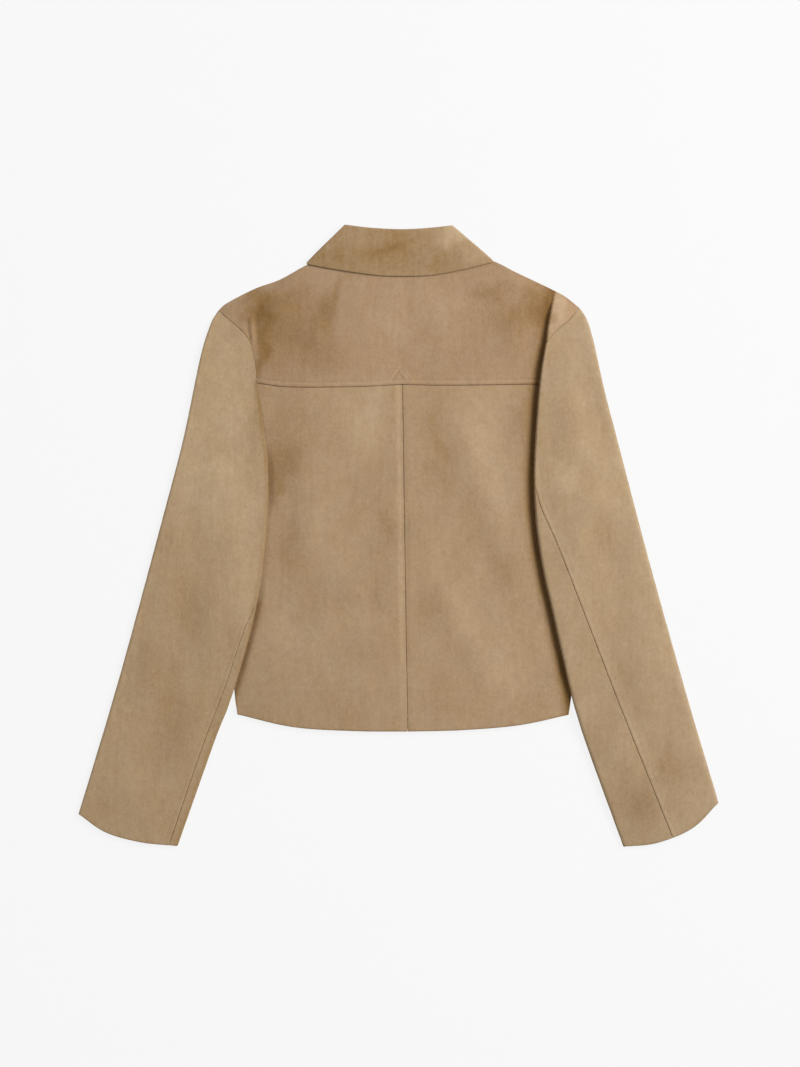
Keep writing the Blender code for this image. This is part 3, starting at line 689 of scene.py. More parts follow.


# ---- nap, with painted light and shade

class Toned:
    """A patch of tone, darker below zero and lighter above, with an uneven outline: mostly the nap's own
    tone, and painted shade and light where the lists say so.
    """

    def __init__(self, tone, x, y, wide, tall, turn=0.0):
        self.tone, self.x, self.y, self.wide, self.tall = tone, x, y, wide, tall
        self.cos, self.sin = math.cos(math.radians(turn)), math.sin(math.radians(turn))

    def tone_at(self, x, y):
        dx, dy = x - self.x, y - self.y
        u, v = dx * self.cos + dy * self.sin, dy * self.cos - dx * self.sin
        return self.tone * np.exp(-((u / self.wide) ** 2 + (v / self.tall) ** 2))


class ToneLine:
    """A band of tone along a line, lighter above zero and darker below. Most bands are painted shade and
    painted light, beside the sleeves and along folds, hems and stitched seams.

    With a way, only the tone on that side of the line changes: below 0 for its left.
    """

    SPILL = 0.5  # how far it spills over to the other side

    def __init__(self, tone, width, line, way=0.0):
        self.tone, self.width, self.line, self.way = tone, width, line, way

    def tone_at(self, x, y):
        tone = self.tone * bell(self.line.distance(np.stack([x, y], axis=-1)), self.width)
        return np.where(self.way * (x - self.line.x_at(y)) < -self.SPILL, 0.0, tone)


# Patches of tone: tone, X, Y, half width, half height and turn in degrees. Most are the nap's own tone.
# Painted shadow: the dark patches at (-140, 82) and (-144, 54), beside the left sleeve's edge.
# Painted shade and light of the right back's creases: the dark patches at (44, 128), (58, 74),
# (92, 4) and (38, -88) on their left-facing sides, and the light ones at (94, 112), (124, 36) and
# (84, -92) on their right-facing sides.
# Painted light: the light patch at (182, 252), on the raised wedge of the right shoulder.
BODY_NAP_AND_PAINTED_LIGHT = [Toned(*row) for row in (
    (-1.0, -163, 261, 18, 16), (-1.0, -156, 220, 12, 46), (-0.4, -157, 190, 8, 22),
    (-0.85, -124, 236, 38, 42, 20), (-0.60, -75, 276, 10, 34, -20), (-0.35, -138, 268, 18, 12),
    (-0.40, -78, 208, 13, 26, 10), (-0.35, -92, 240, 12, 26, -20), (0.25, -30, 240, 34, 40),
    (0.25, 34, 262, 30, 24), (-0.75, 106, 280, 18, 13), (-1.05, 162, 264, 15, 17),
    (-0.7, 134, 246, 28, 26, 30), (1.0, 182, 252, 9, 26, -18), (-0.25, 40, 232, 10, 32, 8),
    (-0.20, 12, 262, 5, 40), (-0.55, 44, 128, 13, 50, 4), (-0.45, 142, 136, 16, 34),
    (-0.26, 58, 74, 13, 42, 22), (-0.20, 92, 4, 14, 56, 30), (-0.15, 128, 0, 28, 60),
    (-0.16, 130, -66, 14, 36, 30), (0.55, 94, 112, 26, 60, 8), (0.35, 124, 36, 16, 44, 8),
    (0.30, 84, -92, 20, 52, 30), (0.25, 118, -140, 26, 30), (-0.35, 38, -88, 14, 24),
    (0.55, -36, 124, 26, 42), (0.25, -106, 32, 30, 34), (-0.25, -138, 138, 16, 30),
    (-0.60, -140, 82, 17, 30), (-0.5, -144, 54, 11, 24), (-0.3, -122, 96, 24, 60),
    (0.25, -60, -10, 40, 60), (0.2, -80, -120, 50, 40), (-0.40, -130, -12, 18, 34),
    (-0.30, -48, 24, 14, 26), (-0.40, -14, 8, 10, 32, 8), (-0.35, -22, -64, 13, 32, 12),
    (0.30, -134, -116, 26, 32), (0.25, -50, -168, 34, 20), (-0.20, 60, -196, 40, 12),
    (0.20, -20, -200, 30, 12), (-0.20, -100, -70, 26, 22),
)]
# Lines beside the left sleeve's edge and at the right hem corner, along which shade is painted.
SHADED_EDGE = Line((-162, -80), (-166, -98), (-190.5, -186), (-196, -204))
UPPER_SHADE = Line((-151, 60), (-152.5, -10), (-156.5, -60))
SIDE_SHADE = Line((192, -150), (198, -178), (197, -207))
# Bands along lines: tone, width, line and way. Painted shadow beside the right sleeve's inner edge and
# along the yoke's crease; painted shade along the hems, at the right hem corner, beside the left sleeve's
# edge and outside the V of the yoke's stitches; painted highlight along the centre back's and the yoke's
# stitches, on the lit slopes of their allowances. The V's own stitch lines are lighter.
BODY_TONE_AND_PAINTED_LIGHT_LINES = [ToneLine(*row) for row in (
    (0.50, 2.3, CENTRE_BACK.offset(-5.2)), (0.40, 1.2, YOKE_SEAM.offset(YOKE_STITCH)),
    (-0.40, 2.2, HEM_LEFT), (-0.40, 2.2, HEM_RIGHT), (-1.9, 9.5, BESIDE_EDGE["right"], -1.0),
    (-1.2, 8.0, SIDE_SHADE), (-1.0, 1.4, WEDGE_CREASE), (-1.5, 5.5, SHADED_EDGE, 1.0),
    (-0.35, 3.5, UPPER_SHADE, 1.0), (0.60, 1.1, YOKE_PEAK[0]), (0.60, 1.1, YOKE_PEAK[1]),
    (-0.45, 1.0, YOKE_PEAK[0].offset(-2.4)), (-0.45, 1.0, YOKE_PEAK[1].offset(-2.4)),
)]
# Painted shade: darker along the cuffs and the left sleeve's inner fold. Painted light: lighter along both
# outer folds, and beside the right elbow seam's stitches, on the lit slope of its allowance.
SLEEVE_PAINTED_LIGHT_LINES = [ToneLine(tone, width, SLEEVE_LINES[side][edge]) for tone, width, side, edge in (
    (-0.40, 2.2, "left", "cuff"), (-0.40, 2.2, "right", "cuff"), (-0.90, 3.4, "left", "inner"),
    (0.45, 4.0, "left", "outer"), (0.60, 7.0, "right", "outer"),
)] + [ToneLine(0.40, 4.5, ELBOW_SEAMS["right"].offset(5.5))]

# Patches of the collar's nap tone; the strong light patch at (64, 343), at the right end of the roll, is a
# painted highlight.
COLLAR_NAP_AND_HIGHLIGHT = [Toned(*row) for row in (
    (-0.80, -15, 325, 26, 9), (-0.55, -66, 320, 13, 10), (-0.25, 12, 341, 26, 7),
    (-0.25, 56, 325, 17, 9), (0.25, 62, 345, 16, 9), (-0.30, 0, 306, 60, 8), (-0.35, -86, 314, 16, 8),
    (0.8, 92, 318, 18, 12), (1.5, 64, 343, 24, 12),
)]
SLEEVE_NAP = [Toned(*row) for row in (
    (0.05, -205, 214, 24, 40, 10), (-0.30, -196, 232, 9, 16, -30), (0.80, -212, 50, 38, 100, 12),
    (0.25, -200, 150, 22, 50), (-0.45, -158, 150, 9, 34), (-0.45, -238, -92, 22, 42, 14),
    (-0.50, -256, -184, 22, 54, 16), (-0.40, -274, -254, 22, 44, 16), (0.20, -312, -230, 22, 70, 16),
    (-0.25, -214, -10, 30, 30), (0.1, 200, 232, 16, 18), (-0.15, 190, 124, 26, 30),
    (0.40, 190, 62, 20, 24), (0.25, 240, 60, 14, 50, 14), (-0.30, 246, -6, 18, 28),
    (-0.25, 226, -96, 20, 36), (-0.35, 262, -162, 18, 30), (0.20, 296, -110, 18, 60, 16),
    (-0.35, 280, -306, 22, 26), (-0.25, 318, -262, 22, 30), (0.20, 212, -12, 12, 50, 14),
)]
# How far the patches' outlines fray, in millimetres.
FRAY_X = ((7.5, Unevenness(21, 15, 19)), (2.6, Unevenness(23, 5, 7)))
FRAY_Y = ((8.0, Unevenness(22, 15, 19)), (3.2, Unevenness(24, 5, 7)))
MOTTLE = Unevenness(25, 24, 34)
CLOUD = Unevenness(26, 60, 80)


def tone_with_painted_light(spots, patches, lines):
    """Tone at plan points: the patches, with frayed outlines, and the lines, over a soft mottle. It holds
    the nap's own tone and the painted shade and light.
    """
    x, y = spots.T
    frayed = [place + sum(far * warp.at(spots) for far, warp in fray)
              for place, fray in ((x, FRAY_X), (y, FRAY_Y))]
    tone = 0.13 * MOTTLE.at(spots) + 0.10 * CLOUD.at(spots)
    for patch in patches:
        tone = tone + patch.tone_at(*frayed)
    for line in lines:
        tone = tone + line.tone_at(x, y)
    return tone


# ---- finishes

class Nodes:
    """Short calls for building a shader."""

    def __init__(self, tree):
        self.tree = tree

    def fill(self, node, values):
        """Links or sets a node's inputs."""
        for name, value in values.items():
            if isinstance(value, bpy.types.NodeSocket):
                self.tree.links.new(value, node.inputs[name])
            else:
                node.inputs[name].default_value = value
        return node

    def add(self, kind, values=(), **settings):
        node = self.tree.nodes.new(kind)
        for name, value in settings.items():
            setattr(node, name, value)
        return self.fill(node, dict(values))

    def maths(self, operation, *values):
        return self.add("ShaderNodeMath", dict(enumerate(values)), operation=operation).outputs[0]

    def grain(self, place, scale, stretch=1.0, detail=3.0, rough=0.55, turn=0.0):
        """A noise from -1 to 1 of a size in millimetres, stretched along the nap."""
        spread = self.add("ShaderNodeMapping", {"Vector": place, "Rotation": (0, 0, turn),
                                                "Scale": (1.0, stretch, 1.0)})
        noise = self.add("ShaderNodeTexNoise", {"Vector": spread.outputs[0], "Scale": 1000.0 / scale,
                                                "Detail": detail, "Roughness": rough})
        return self.maths("MULTIPLY_ADD", noise.outputs["Fac"], 2.0, -1.0)

    def ramp(self, level, *stops):
        """Colour of a level, through stops of (level, colour)."""
        node = self.add("ShaderNodeValToRGB", {"Fac": level})
        marks = node.color_ramp.elements
        while len(marks) < len(stops):
            marks.new(0.5)
        for mark, (place, colour) in zip(marks, stops):
            mark.position = place
            mark.color = (*colour, 1.0)
        return node.outputs["Color"]


class Finish(Nodes):
    """A new material, the calls for its nodes, its shader and its object coordinates."""

    def __init__(self, name):
        self.material = bpy.data.materials.new(name)
        self.material.use_nodes = True
        super().__init__(self.material.node_tree)
        self.place = self.add("ShaderNodeTexCoord").outputs["Object"]

    def made(self, **values):
        """The material, with its shader's inputs filled in."""
        shader = self.tree.nodes["Principled BSDF"]
        self.fill(shader, {name.replace("_", " "): value for name, value in values.items()})
        return self.material


# Grains of the nap: size in millimetres, stretch, detail, roughness, turn and share of the tone.
NAP_GRAINS = {
    "clouds": (34, 0.7, 4.0, 0.65, 0.0, 0.34),
    "mottle": (9, 0.8, 5.0, 0.7, 0.0, 0.50),
    "speckle": (3.0, 0.8, 4.0, 0.7, 0.0, 0.76),
    "streaks": (4.6, 0.14, 3.0, 0.6, 0.0, 0.30),
    "scuffs": (7.0, 0.28, 4.0, 0.7, 0.9, 0.24),
    "fuzz": (0.9, 0.7, 2.0, 0.6, 0.0, 0.30),
}
RELIEF_SHARES = (("fuzz", 0.55), ("streaks", 0.5), ("mottle", 0.9))


def nap_group():
    """Tone, warmth and relief of brushed suede: blotches, streaks, scuffs and a fine fuzz."""
    group = bpy.data.node_groups.new("suede nap", "ShaderNodeTree")
    for name, way, kind in (("Place", "INPUT", "Vector"), ("Toned", "INPUT", "Float"),
                            ("Tone", "OUTPUT", "Float"), ("Warmth", "OUTPUT", "Float"),
                            ("Relief", "OUTPUT", "Float")):
        group.interface.new_socket(name, in_out=way, socket_type=f"NodeSocket{kind}")
    nodes = Nodes(group)
    given = nodes.add("NodeGroupInput").outputs
    grains = {}
    tone = 0.0
    for name, (*look, share) in NAP_GRAINS.items():
        grains[name] = nodes.grain(given["Place"], *look)
        tone = nodes.maths("MULTIPLY_ADD", grains[name], share, tone)
    patchy = nodes.maths("MULTIPLY_ADD", grains["mottle"], 0.45, 1.0)
    relief = 0.0
    for name, share in RELIEF_SHARES:
        relief = nodes.maths("MULTIPLY_ADD", grains[name], share, relief)
    nodes.add("NodeGroupOutput", {
        "Tone": nodes.maths("MULTIPLY_ADD", given["Toned"], patchy, tone),
        "Warmth": nodes.grain(given["Place"], 26, 0.8, 3.0, 0.6), "Relief": relief})
    return group


FLOOR_TONE, FLOOR_GLOW = 0.08, 0.855
TONE_MIDDLE, TONE_SPREAD = 0.58, 0.30
SUEDE_TONES = (  # level, colour
    (0.0, (0.205, 0.114, 0.038)),
    (0.30, (0.286, 0.177, 0.078)),
    (0.55, (0.368, 0.251, 0.144)),
    (0.80, (0.445, 0.317, 0.190)),
    (1.0, (0.510, 0.372, 0.232)),
)


def suede(name, group, lightness=0.0, tint=(1.0, 1.0, 1.0)):
    """Brushed suede. Lightness and tint set one cut piece off from its neighbours."""
    nodes = Finish(name)
    # The attribute read here holds the nap's tone with the painted shade and light.
    tone = nodes.add("ShaderNodeAttribute", attribute_name="nap_and_painted_light").outputs["Fac"]
    nap_and_painted_light = nodes.add("ShaderNodeGroup", {"Place": nodes.place, "Toned": tone}, node_tree=group).outputs
    level = nodes.maths("MULTIPLY_ADD", nap_and_painted_light["Tone"], TONE_SPREAD, TONE_MIDDLE + lightness)
    warm = nodes.add("ShaderNodeHueSaturation", {
        "Color": nodes.ramp(level, *SUEDE_TONES),
        "Saturation": nodes.maths("MULTIPLY_ADD", nap_and_painted_light["Warmth"], 0.10, 1.0)})
    dyed = nodes.add("ShaderNodeVectorMath", {0: warm.outputs["Color"], 1: tint}, operation="MULTIPLY")
    bump = nodes.add("ShaderNodeBump", {"Height": nap_and_painted_light["Relief"], "Strength": 0.30, "Distance": 0.35 * MM})
    return nodes.made(
        Base_Color=dyed.outputs["Vector"], Normal=bump.outputs["Normal"], Roughness=0.95,
        Specular_IOR_Level=0.12, Sheen_Weight=0.14, Sheen_Roughness=0.55,
        Sheen_Tint=(0.95, 0.82, 0.66, 1.0))


def thread():
    """Matt thread, a little lighter than the suede."""
    nodes = Finish("thread")
    twist = nodes.grain(nodes.place, 1.2, 1.0, 2.0, 0.6)
    colour = nodes.ramp(nodes.maths("MULTIPLY_ADD", twist, 0.5, 0.5),
                        (0.0, (0.40, 0.28, 0.165)), (1.0, (0.56, 0.41, 0.265)))
    return nodes.made(Base_Color=colour, Roughness=0.7, Sheen_Weight=0.2)


def horn():
    """Dark mottled horn, softly polished."""
    nodes = Finish("horn")
    bands = nodes.grain(nodes.place, 7.0, 0.4, 4.0, 0.6, 0.5)
    colour = nodes.ramp(nodes.maths("MULTIPLY_ADD", bands, 0.6, 0.5),
                        (0.0, (0.045, 0.024, 0.012)), (1.0, (0.20, 0.115, 0.055)))
    return nodes.made(Base_Color=colour, Roughness=0.35)


def paper():
    """The backdrop's white paper, lit from within."""
    nodes = Finish("paper")
    tooth = nodes.grain(nodes.place, 60, 1.0, 2.0, 0.5)
    colour = nodes.ramp(nodes.maths("MULTIPLY_ADD", tooth, 0.5, 0.5),
                        (0.0, [FLOOR_TONE] * 3), (1.0, [FLOOR_TONE + 0.004] * 3))
    return nodes.made(Base_Color=colour, Roughness=0.9, Specular_IOR_Level=0.1,
                      Emission_Color=(1.0, 1.0, 1.0, 1.0), Emission_Strength=FLOOR_GLOW)


# ---- the body

def seam_ridge(far, run):
    """A pressed allowance beside a topstitched seam: a ridge, then the groove of the stitches."""
    ridge = 0.30 * bell(far - 0.5 * run, 0.36 * run)
    groove = -0.16 * bell(far - run, 1.0)
    beyond = 0.35 * bell(far - run - 3.6, 2.6)
    return ridge + groove + beyond


def panel(name, material, patch, height, columns, rows, nap_and_painted_light=((), ()), inward=-1.0, flip=False):
    """A panel of the body on its plan patch, with its edges turned inward."""
    across = columns.share[None] + columns.extra[None] / widths(patch, rows.share)[:, None]
    along = rows.share[:, None] + rows.extra[:, None] / widths(patch.turned(), columns.share)[None]
    drop = columns.drop[None] + rows.drop[:, None]
    plan = patch.at(along, across)
    laid = np.maximum(height(plan) + inward * drop, FLOOR)
    return piece(name, np.concatenate([plan, laid[..., None]], axis=-1), material, nap_and_painted_light, flip)


def build_yoke(material):
    shoulder_line = Line.joined(SHOULDER["left"], BACK_NECK, SHOULDER["right"].reversed())
    corner = YOKE_SEAM_RIGHT.at(1.0)
    right = Line.joined(Line(corner, ARMHOLE["right"].at(0.0)), ARMHOLE["right"])
    patch = Patch(YOKE_SEAM, shoulder_line, ARMHOLE["left"], right)

    def height(spots):
        far = YOKE_SEAM.distance(spots)
        peak = np.minimum(YOKE_PEAK[0].distance(spots), YOKE_PEAK[1].distance(spots))
        pulled = 0.40 * bell(peak - 2.2, 1.8) - 0.45 * bell(peak, 0.9)
        return yoke_height(spots) + 0.35 * bell(far, 9) + seam_ridge(far, YOKE_STITCH) + pulled

    columns = Marks(YOKE_SEAM.length, 1.5, seam_edge(12.0), seam_edge(40.0))
    rows = Marks(128.0, 1.9, seam_edge(34.0), seam_edge(0.0))
    return panel("back_yoke", material, patch, height, columns, rows, (BODY_NAP_AND_PAINTED_LIGHT, BODY_TONE_AND_PAINTED_LIGHT_LINES))


def hem_imprint(spots):
    """The turned hem's edge shows through as a faint ridge."""
    line = IMPRINT + 3.0 * np.cos(spots[..., 0] / 70.0) + 1.2 * MEDIUM.at(spots)
    return 0.28 * bell(spots[..., 1] - line, 2.6)


def build_back(side, material):
    armhole = hidden_armhole(side, 1)
    if side == "left":
        edge = Line.joined(Line(*armhole), SIDE_SEAM[side])
        patch = Patch(YOKE_SEAM_LEFT, HEM_LEFT, edge, CENTRE_BACK)
        columns = Marks(170.0, 1.9, seam_edge(0.0), seam_edge(13.0))
    else:
        corner = YOKE_SEAM_RIGHT.at(1.0)
        down = [spot for spot in armhole if spot[1] < corner[1] - 15]
        edge = Line.joined(Line(corner, *down[:-1:2], armhole[-1]), SIDE_SEAM[side])
        patch = Patch(YOKE_SEAM_RIGHT, HEM_RIGHT, CENTRE_BACK, edge)
        columns = Marks(170.0, 1.9, seam_edge(8.0), seam_edge(0.0))

    def height(spots):
        lift = sunk_back(spots) + hem_imprint(spots)
        far = CENTRE_BACK.distance(spots)
        if side == "left":
            stitched = ease((spots[..., 1] + 150) / 8)
            drawn = -0.75 * (1 - ease((far - 1.5) / 7.0))
            loose = 0.30 * bell(far - 2.6, 2.4)
            lift = lift + mix(loose, drawn, stitched)
        else:
            lift = lift - 0.45 * (1 - ease((far - 0.5) / 5.0))
        return lift - 0.20 * bell(YOKE_SEAM.distance(spots), 3.0)

    rows = Marks(396.0, 2.3, seam_edge(6.0), hem_edge(4.0))
    return panel(f"back_{side}", material, patch, height, columns, rows, (BODY_NAP_AND_PAINTED_LIGHT, BODY_TONE_AND_PAINTED_LIGHT_LINES),
                 flip=True)


def build_front(side, material, lap_height):
    """One front, from its shoulder and neck down to the hem, with its turned edge."""
    way = WAY[side]
    neck_foot = FRONT_NECK[side].at(1.0)
    lap_edge = CENTRE - way * LAP
    foot = np.array(SIDE_FOOT[side]) + (0, 4)
    top = Line.joined(FRONT_SHOULDER[side], FRONT_NECK[side], Line(neck_foot, (lap_edge, neck_foot[1] - 1)))
    hem = Line(foot, (CENTRE + way * (LAP_CLEAR + LAP_RAMP), FRONT_HEM + 1), (lap_edge, FRONT_HEM))
    side_edge = Line.joined(Line(*hidden_armhole(side, 2)),
                            Line(UNDERARM_POINT[side], SIDE_BEND[side], foot))
    edge = Line((lap_edge, neck_foot[1] - 1), (lap_edge, FRONT_HEM))
    patch = Patch(top, hem, side_edge, edge)

    def height(spots):
        over = way * (spots[..., 0] - CENTRE)
        lift = ease((LAP_CLEAR + LAP_RAMP - over) / LAP_RAMP)
        return mix(front_height(spots), lap_height, lift)

    columns = Marks(200.0, COARSE, seam_edge(0.0), hem_edge(0.0))
    rows = Marks(470.0, COARSE, ("plain", 1.9, 0.0), hem_edge(0.0))
    return panel(f"front_{side}", material, patch, height, columns, rows, inward=1.0,
                 flip=side == "left")


# ---- sleeves

class Section:
    """Cross-sections of a flattened sleeve, one for each row, read by the way round each of them.

    The way is 0 where the upper layer leaves the inner fold. It runs over the top to the outer
    fold and back underneath. Below 0 it goes round the inner fold and outwards underneath.
    """

    FOLD_ROOM = 4.0  # where a fold's height is read, in from its edge

    def __init__(self, side, along):
        self.side, self.along = side, along
        plan = PLAN[side]
        inner, outer = plan.at(along, np.zeros_like(along)), plan.at(along, np.ones_like(along))
        self.wide = np.linalg.norm(outer - inner, axis=1)
        self.out = (outer - inner) / self.wide[:, None]
        self.above = along < UNDERARM
        near = mix(inner, outer, (self.FOLD_ROOM / self.wide)[:, None])
        far = mix(inner, outer, (1 - self.FOLD_ROOM / self.wide)[:, None])
        self.crisp_in, self.turn_in = self.fold(near, True)
        self.crisp_out, self.turn_out = self.fold(far, False)
        self.start = self.crisp_in + HALF
        self.flat = self.wide - self.start - self.crisp_out - HALF
        self.elbow = elbow_reach(side, along) - self.start

    def fold(self, spots, inner):
        """How far a fold rolls out, seen from above, and the way round it."""
        roll = (TOP[self.side](spots) - sleeve_low(self.side, spots, self.above, inner)) / 2
        roll = np.maximum(roll, LEAST_ROLL)
        crisp = np.minimum(roll, CRISP_FOLD)
        return crisp, math.pi * np.sqrt((roll**2 + crisp**2) / 2)

    def angles(self, way):
        """How far round the inner and the outer fold a way is, from 0 to pi."""
        flat, turn_in, turn_out = self.flat[:, None], self.turn_in[:, None], self.turn_out[:, None]
        return np.clip(-way / turn_in, 0, 1) * math.pi, np.clip((way - flat) / turn_out, 0, 1) * math.pi

    def under_way(self, share):
        """Way, below 0, to a share of the width on the underside."""
        return -self.turn_in - (share * self.wide - self.start)

    def far_way(self, share):
        """The same place, reached over the top and round the outer fold."""
        return self.flat + self.turn_out + (self.wide - self.crisp_out - HALF - share * self.wide)

    def points(self, along, way):
        """Points for arrays (rows, columns) of places along the sleeve and ways round it."""
        side = self.side
        wide, start, flat = self.wide[:, None], self.start[:, None], self.flat[:, None]
        turn_in, turn_out = self.turn_in[:, None], self.turn_out[:, None]
        crisp_in, crisp_out = self.crisp_in[:, None], self.crisp_out[:, None]
        above = np.broadcast_to(self.above[:, None], way.shape)
        inner = way < flat / 2
        past = way - flat
        under = start - (way + turn_in)
        over = start + np.clip(way, 0, flat)
        back = start + flat - (past - turn_out)
        reach = np.where(way < -turn_in, under, np.where(past > turn_out, back, over))
        plan = PLAN[side].at(along, reach / wide)
        top = TOP[side](plan)
        low = np.where(inner, sleeve_low(side, plan, above, True), sleeve_low(side, plan, above, False))
        angle_in, angle_out = self.angles(way)
        angle = np.where(inner, angle_in, angle_out)
        height = mix(top, low, (1 - np.cos(angle)) / 2)
        aside = np.where(inner, -crisp_in * np.sin(angle_in), crisp_out * np.sin(angle_out))
        plan = plan + self.out[:, None] * aside[..., None]
        return np.concatenate([plan, height[..., None]], axis=-1)

    def shoulder_share(self, way):
        """How much of the armhole seam's dive is kept: little at the outer fold."""
        return 1 - 0.75 * ease((way - self.flat[:, None] + 6) / 6)

    def outward(self, way):
        """Unit direction out of the sleeve at each point, for its turned edges."""
        angle_in, angle_out = self.angles(way)
        inner = way < self.flat[:, None] / 2
        aside = np.where(inner, -np.sin(angle_in), np.sin(angle_out))
        up = np.cos(np.where(inner, angle_in, angle_out))
        return np.concatenate([self.out[:, None] * aside[..., None], up[..., None]], axis=-1)


def sleeve_piece(name, side, material, first_row, rows, first_way, last_way, edges, ridge):
    """A piece of a sleeve between two ways round its section."""
    long = widths(PLAN[side].turned(), np.linspace(0, 1, 9)).mean()
    along_row = first_row + (1 - first_row) * rows.share + rows.extra / long
    section = Section(side, np.clip(along_row, 0, 1))
    start, end = first_way(section), last_way(section)
    columns = Marks(float((end - start).mean()), 2.4, *edges)
    way = start[:, None] + columns.share[None] * (end - start)[:, None] + columns.extra[None]
    along = np.repeat(section.along[:, None], columns.count, 1)
    drop = columns.drop[None] + rows.drop[:, None] * section.shoulder_share(way)
    lift = ridge(way, section.elbow[:, None]) - drop
    spots = section.points(along, way) + section.outward(way) * lift[..., None]
    spots[..., 2] = np.maximum(spots[..., 2], FLOOR)
    return piece(name, spots, material, (SLEEVE_NAP, SLEEVE_PAINTED_LIGHT_LINES), flip=side == "right")


def build_sleeve(side, material):
    def elbow(section):
        return section.elbow

    def front(section):
        return section.far_way(seam_mark(side, section.along, 2))

    def back(section):
        return section.under_way(seam_mark(side, section.along, 1))

    def ridge(way, mark):
        """Pressed allowance and stitch groove beside the elbow seam, where it shows."""
        far = np.abs(way - mark)
        shown = ease((mark + 2) / 6) * ELBOW_STRENGTH[side]
        return seam_ridge(far, STITCH_FROM_SEAM) * 0.85 * shown + 0.2 * bell(far, 6)

    def no_ridge(way, mark):
        return 0.0

    rows = Marks(620.0, 2.4, seam_edge(5.0), hem_edge(3.0))
    top = sleeve_piece(f"sleeve_{side}_top", side, material, 0.0, rows, elbow, front,
                       (seam_edge(13.0), seam_edge(0.0)), ridge)
    rows = Marks(560.0, 3.0, seam_edge(0.0), hem_edge(3.0))
    under = sleeve_piece(f"sleeve_{side}_under", side, material, UNDER_START, rows, back, elbow,
                         (seam_edge(0.0), seam_edge(6.0)), no_ridge)
    return top, under


# ---- the collar

class Band:
    """A band round the neck, flattened: a front part, a turn, the back, a turn, a front part."""

    TIGHT, LOOSE = 0.85, 0.35  # how far a turn rolls out at its low and its high edge

    def __init__(self, low, high, inset):
        self.low, self.high, self.inset = low, high, inset

    def marks(self, front_step, back_step, turn_steps):
        """(part, fraction along it, angle of the turn) for each column."""
        front = np.linspace(1, 0, int(self.low["left"].length / front_step) + 1)[:-1]
        back = np.linspace(0, 1, int(self.low["back"].length / back_step) + 1)
        turn = np.linspace(math.pi, 0, turn_steps + 1)[:-1]
        columns = [("left", f, math.pi) for f in front]
        columns += [("back", 0.0, a) for a in turn]
        columns += [("back", f, 0.0) for f in back]
        columns += [("back", 1.0, a) for a in turn[::-1]]
        columns += [("right", f, math.pi) for f in front[::-1]]
        return columns

    def points(self, columns, shares, outs, front_z, back_z, drops):
        """Points (rows, columns, 3). outs run past the high edge, and drops go inwards."""
        spots = np.zeros((len(shares), len(columns), 3))
        squeeze = mix(self.TIGHT, self.LOOSE, np.clip(shares, 0, 1))
        for i, (part, f, angle) in enumerate(columns):
            low, high = self.low[part].at(f), self.high[part].at(f)
            long = np.linalg.norm(high - low)
            rise = (high - low) / long
            way = 1 if (f < 0.5 and part == "back") else -1
            aside = np.array([-rise[1], rise[0]]) * way
            plan = low + (high - low) * (shares + outs / long)[:, None]
            z_front, z_back = front_z(plan), back_z(plan)
            reach = (z_back - z_front) / 2 - drops
            rolled = (reach * squeeze - self.inset) * math.sin(angle)
            spots[:, i, :2] = plan + aside * rolled[:, None]
            spots[:, i, 2] = (z_front + z_back) / 2 + reach * math.cos(angle)
        return spots


ROLL_LEFT, ROLL_RIGHT = (-61.0, 355.0), (62.4, 354.2)  # ends of the rolled edge's back
ROLL_LINES = {
    "left": Line(ROLL_LEFT, (-45, 322), (CENTRE - 5, 290)),
    "back": Line(ROLL_LEFT, (-32, 351.4), (4, 349.6), (38, 351.4), ROLL_RIGHT),
    "right": Line(ROLL_RIGHT, (50, 322), (CENTRE + 5, 290)),
}
LEAF_LEFT, LEAF_RIGHT = (-103.6, 310.4), (107.8, 312.8)  # ends of the leaf's edge on the back
LEAF_LINES = {
    "left": Line(LEAF_LEFT, (-84, 262), (-58, 222)),
    "back": Line(LEAF_LEFT, (-76, 305), (-28, 298), (5, 296.5), (41, 298), (78, 305), LEAF_RIGHT),
    "right": Line(LEAF_RIGHT, (92, 262), (68, 222)),
}
NECK_LINES = {"left": FRONT_NECK["left"], "back": BACK_NECK, "right": FRONT_NECK["right"]}
LEAF_ROWS = 30
LEAF_BEND, BEND_ROWS = 2.3, 8  # radius and rows of the bend at the leaf's rolled edge
PAST_ROLL = -1.6  # where that bend starts, past the roll line
STAND_ROWS = 12


def leaf_rows():
    """(share, length past it, drop) of the leaf's rows: a turned hem, the leaf and its bend."""
    rows = []
    for way in reversed(TURN_MARKS["hem"][2]):
        out, drop = hem_turn(np.float64(way))
        rows.append((0.0, TURN + HALF - float(out), float(drop)))
    for i in range(1, LEAF_ROWS + 1):
        rows.append((i / LEAF_ROWS, mix(TURN + HALF, PAST_ROLL, i / LEAF_ROWS), 0.0))
    for i in range(1, BEND_ROWS + 1):
        angle = math.radians(150) * i / BEND_ROWS
        rows.append((1.0, PAST_ROLL + LEAF_BEND * math.sin(angle), LEAF_BEND * (1 - math.cos(angle))))
    return [np.array(column) for column in zip(*rows)]


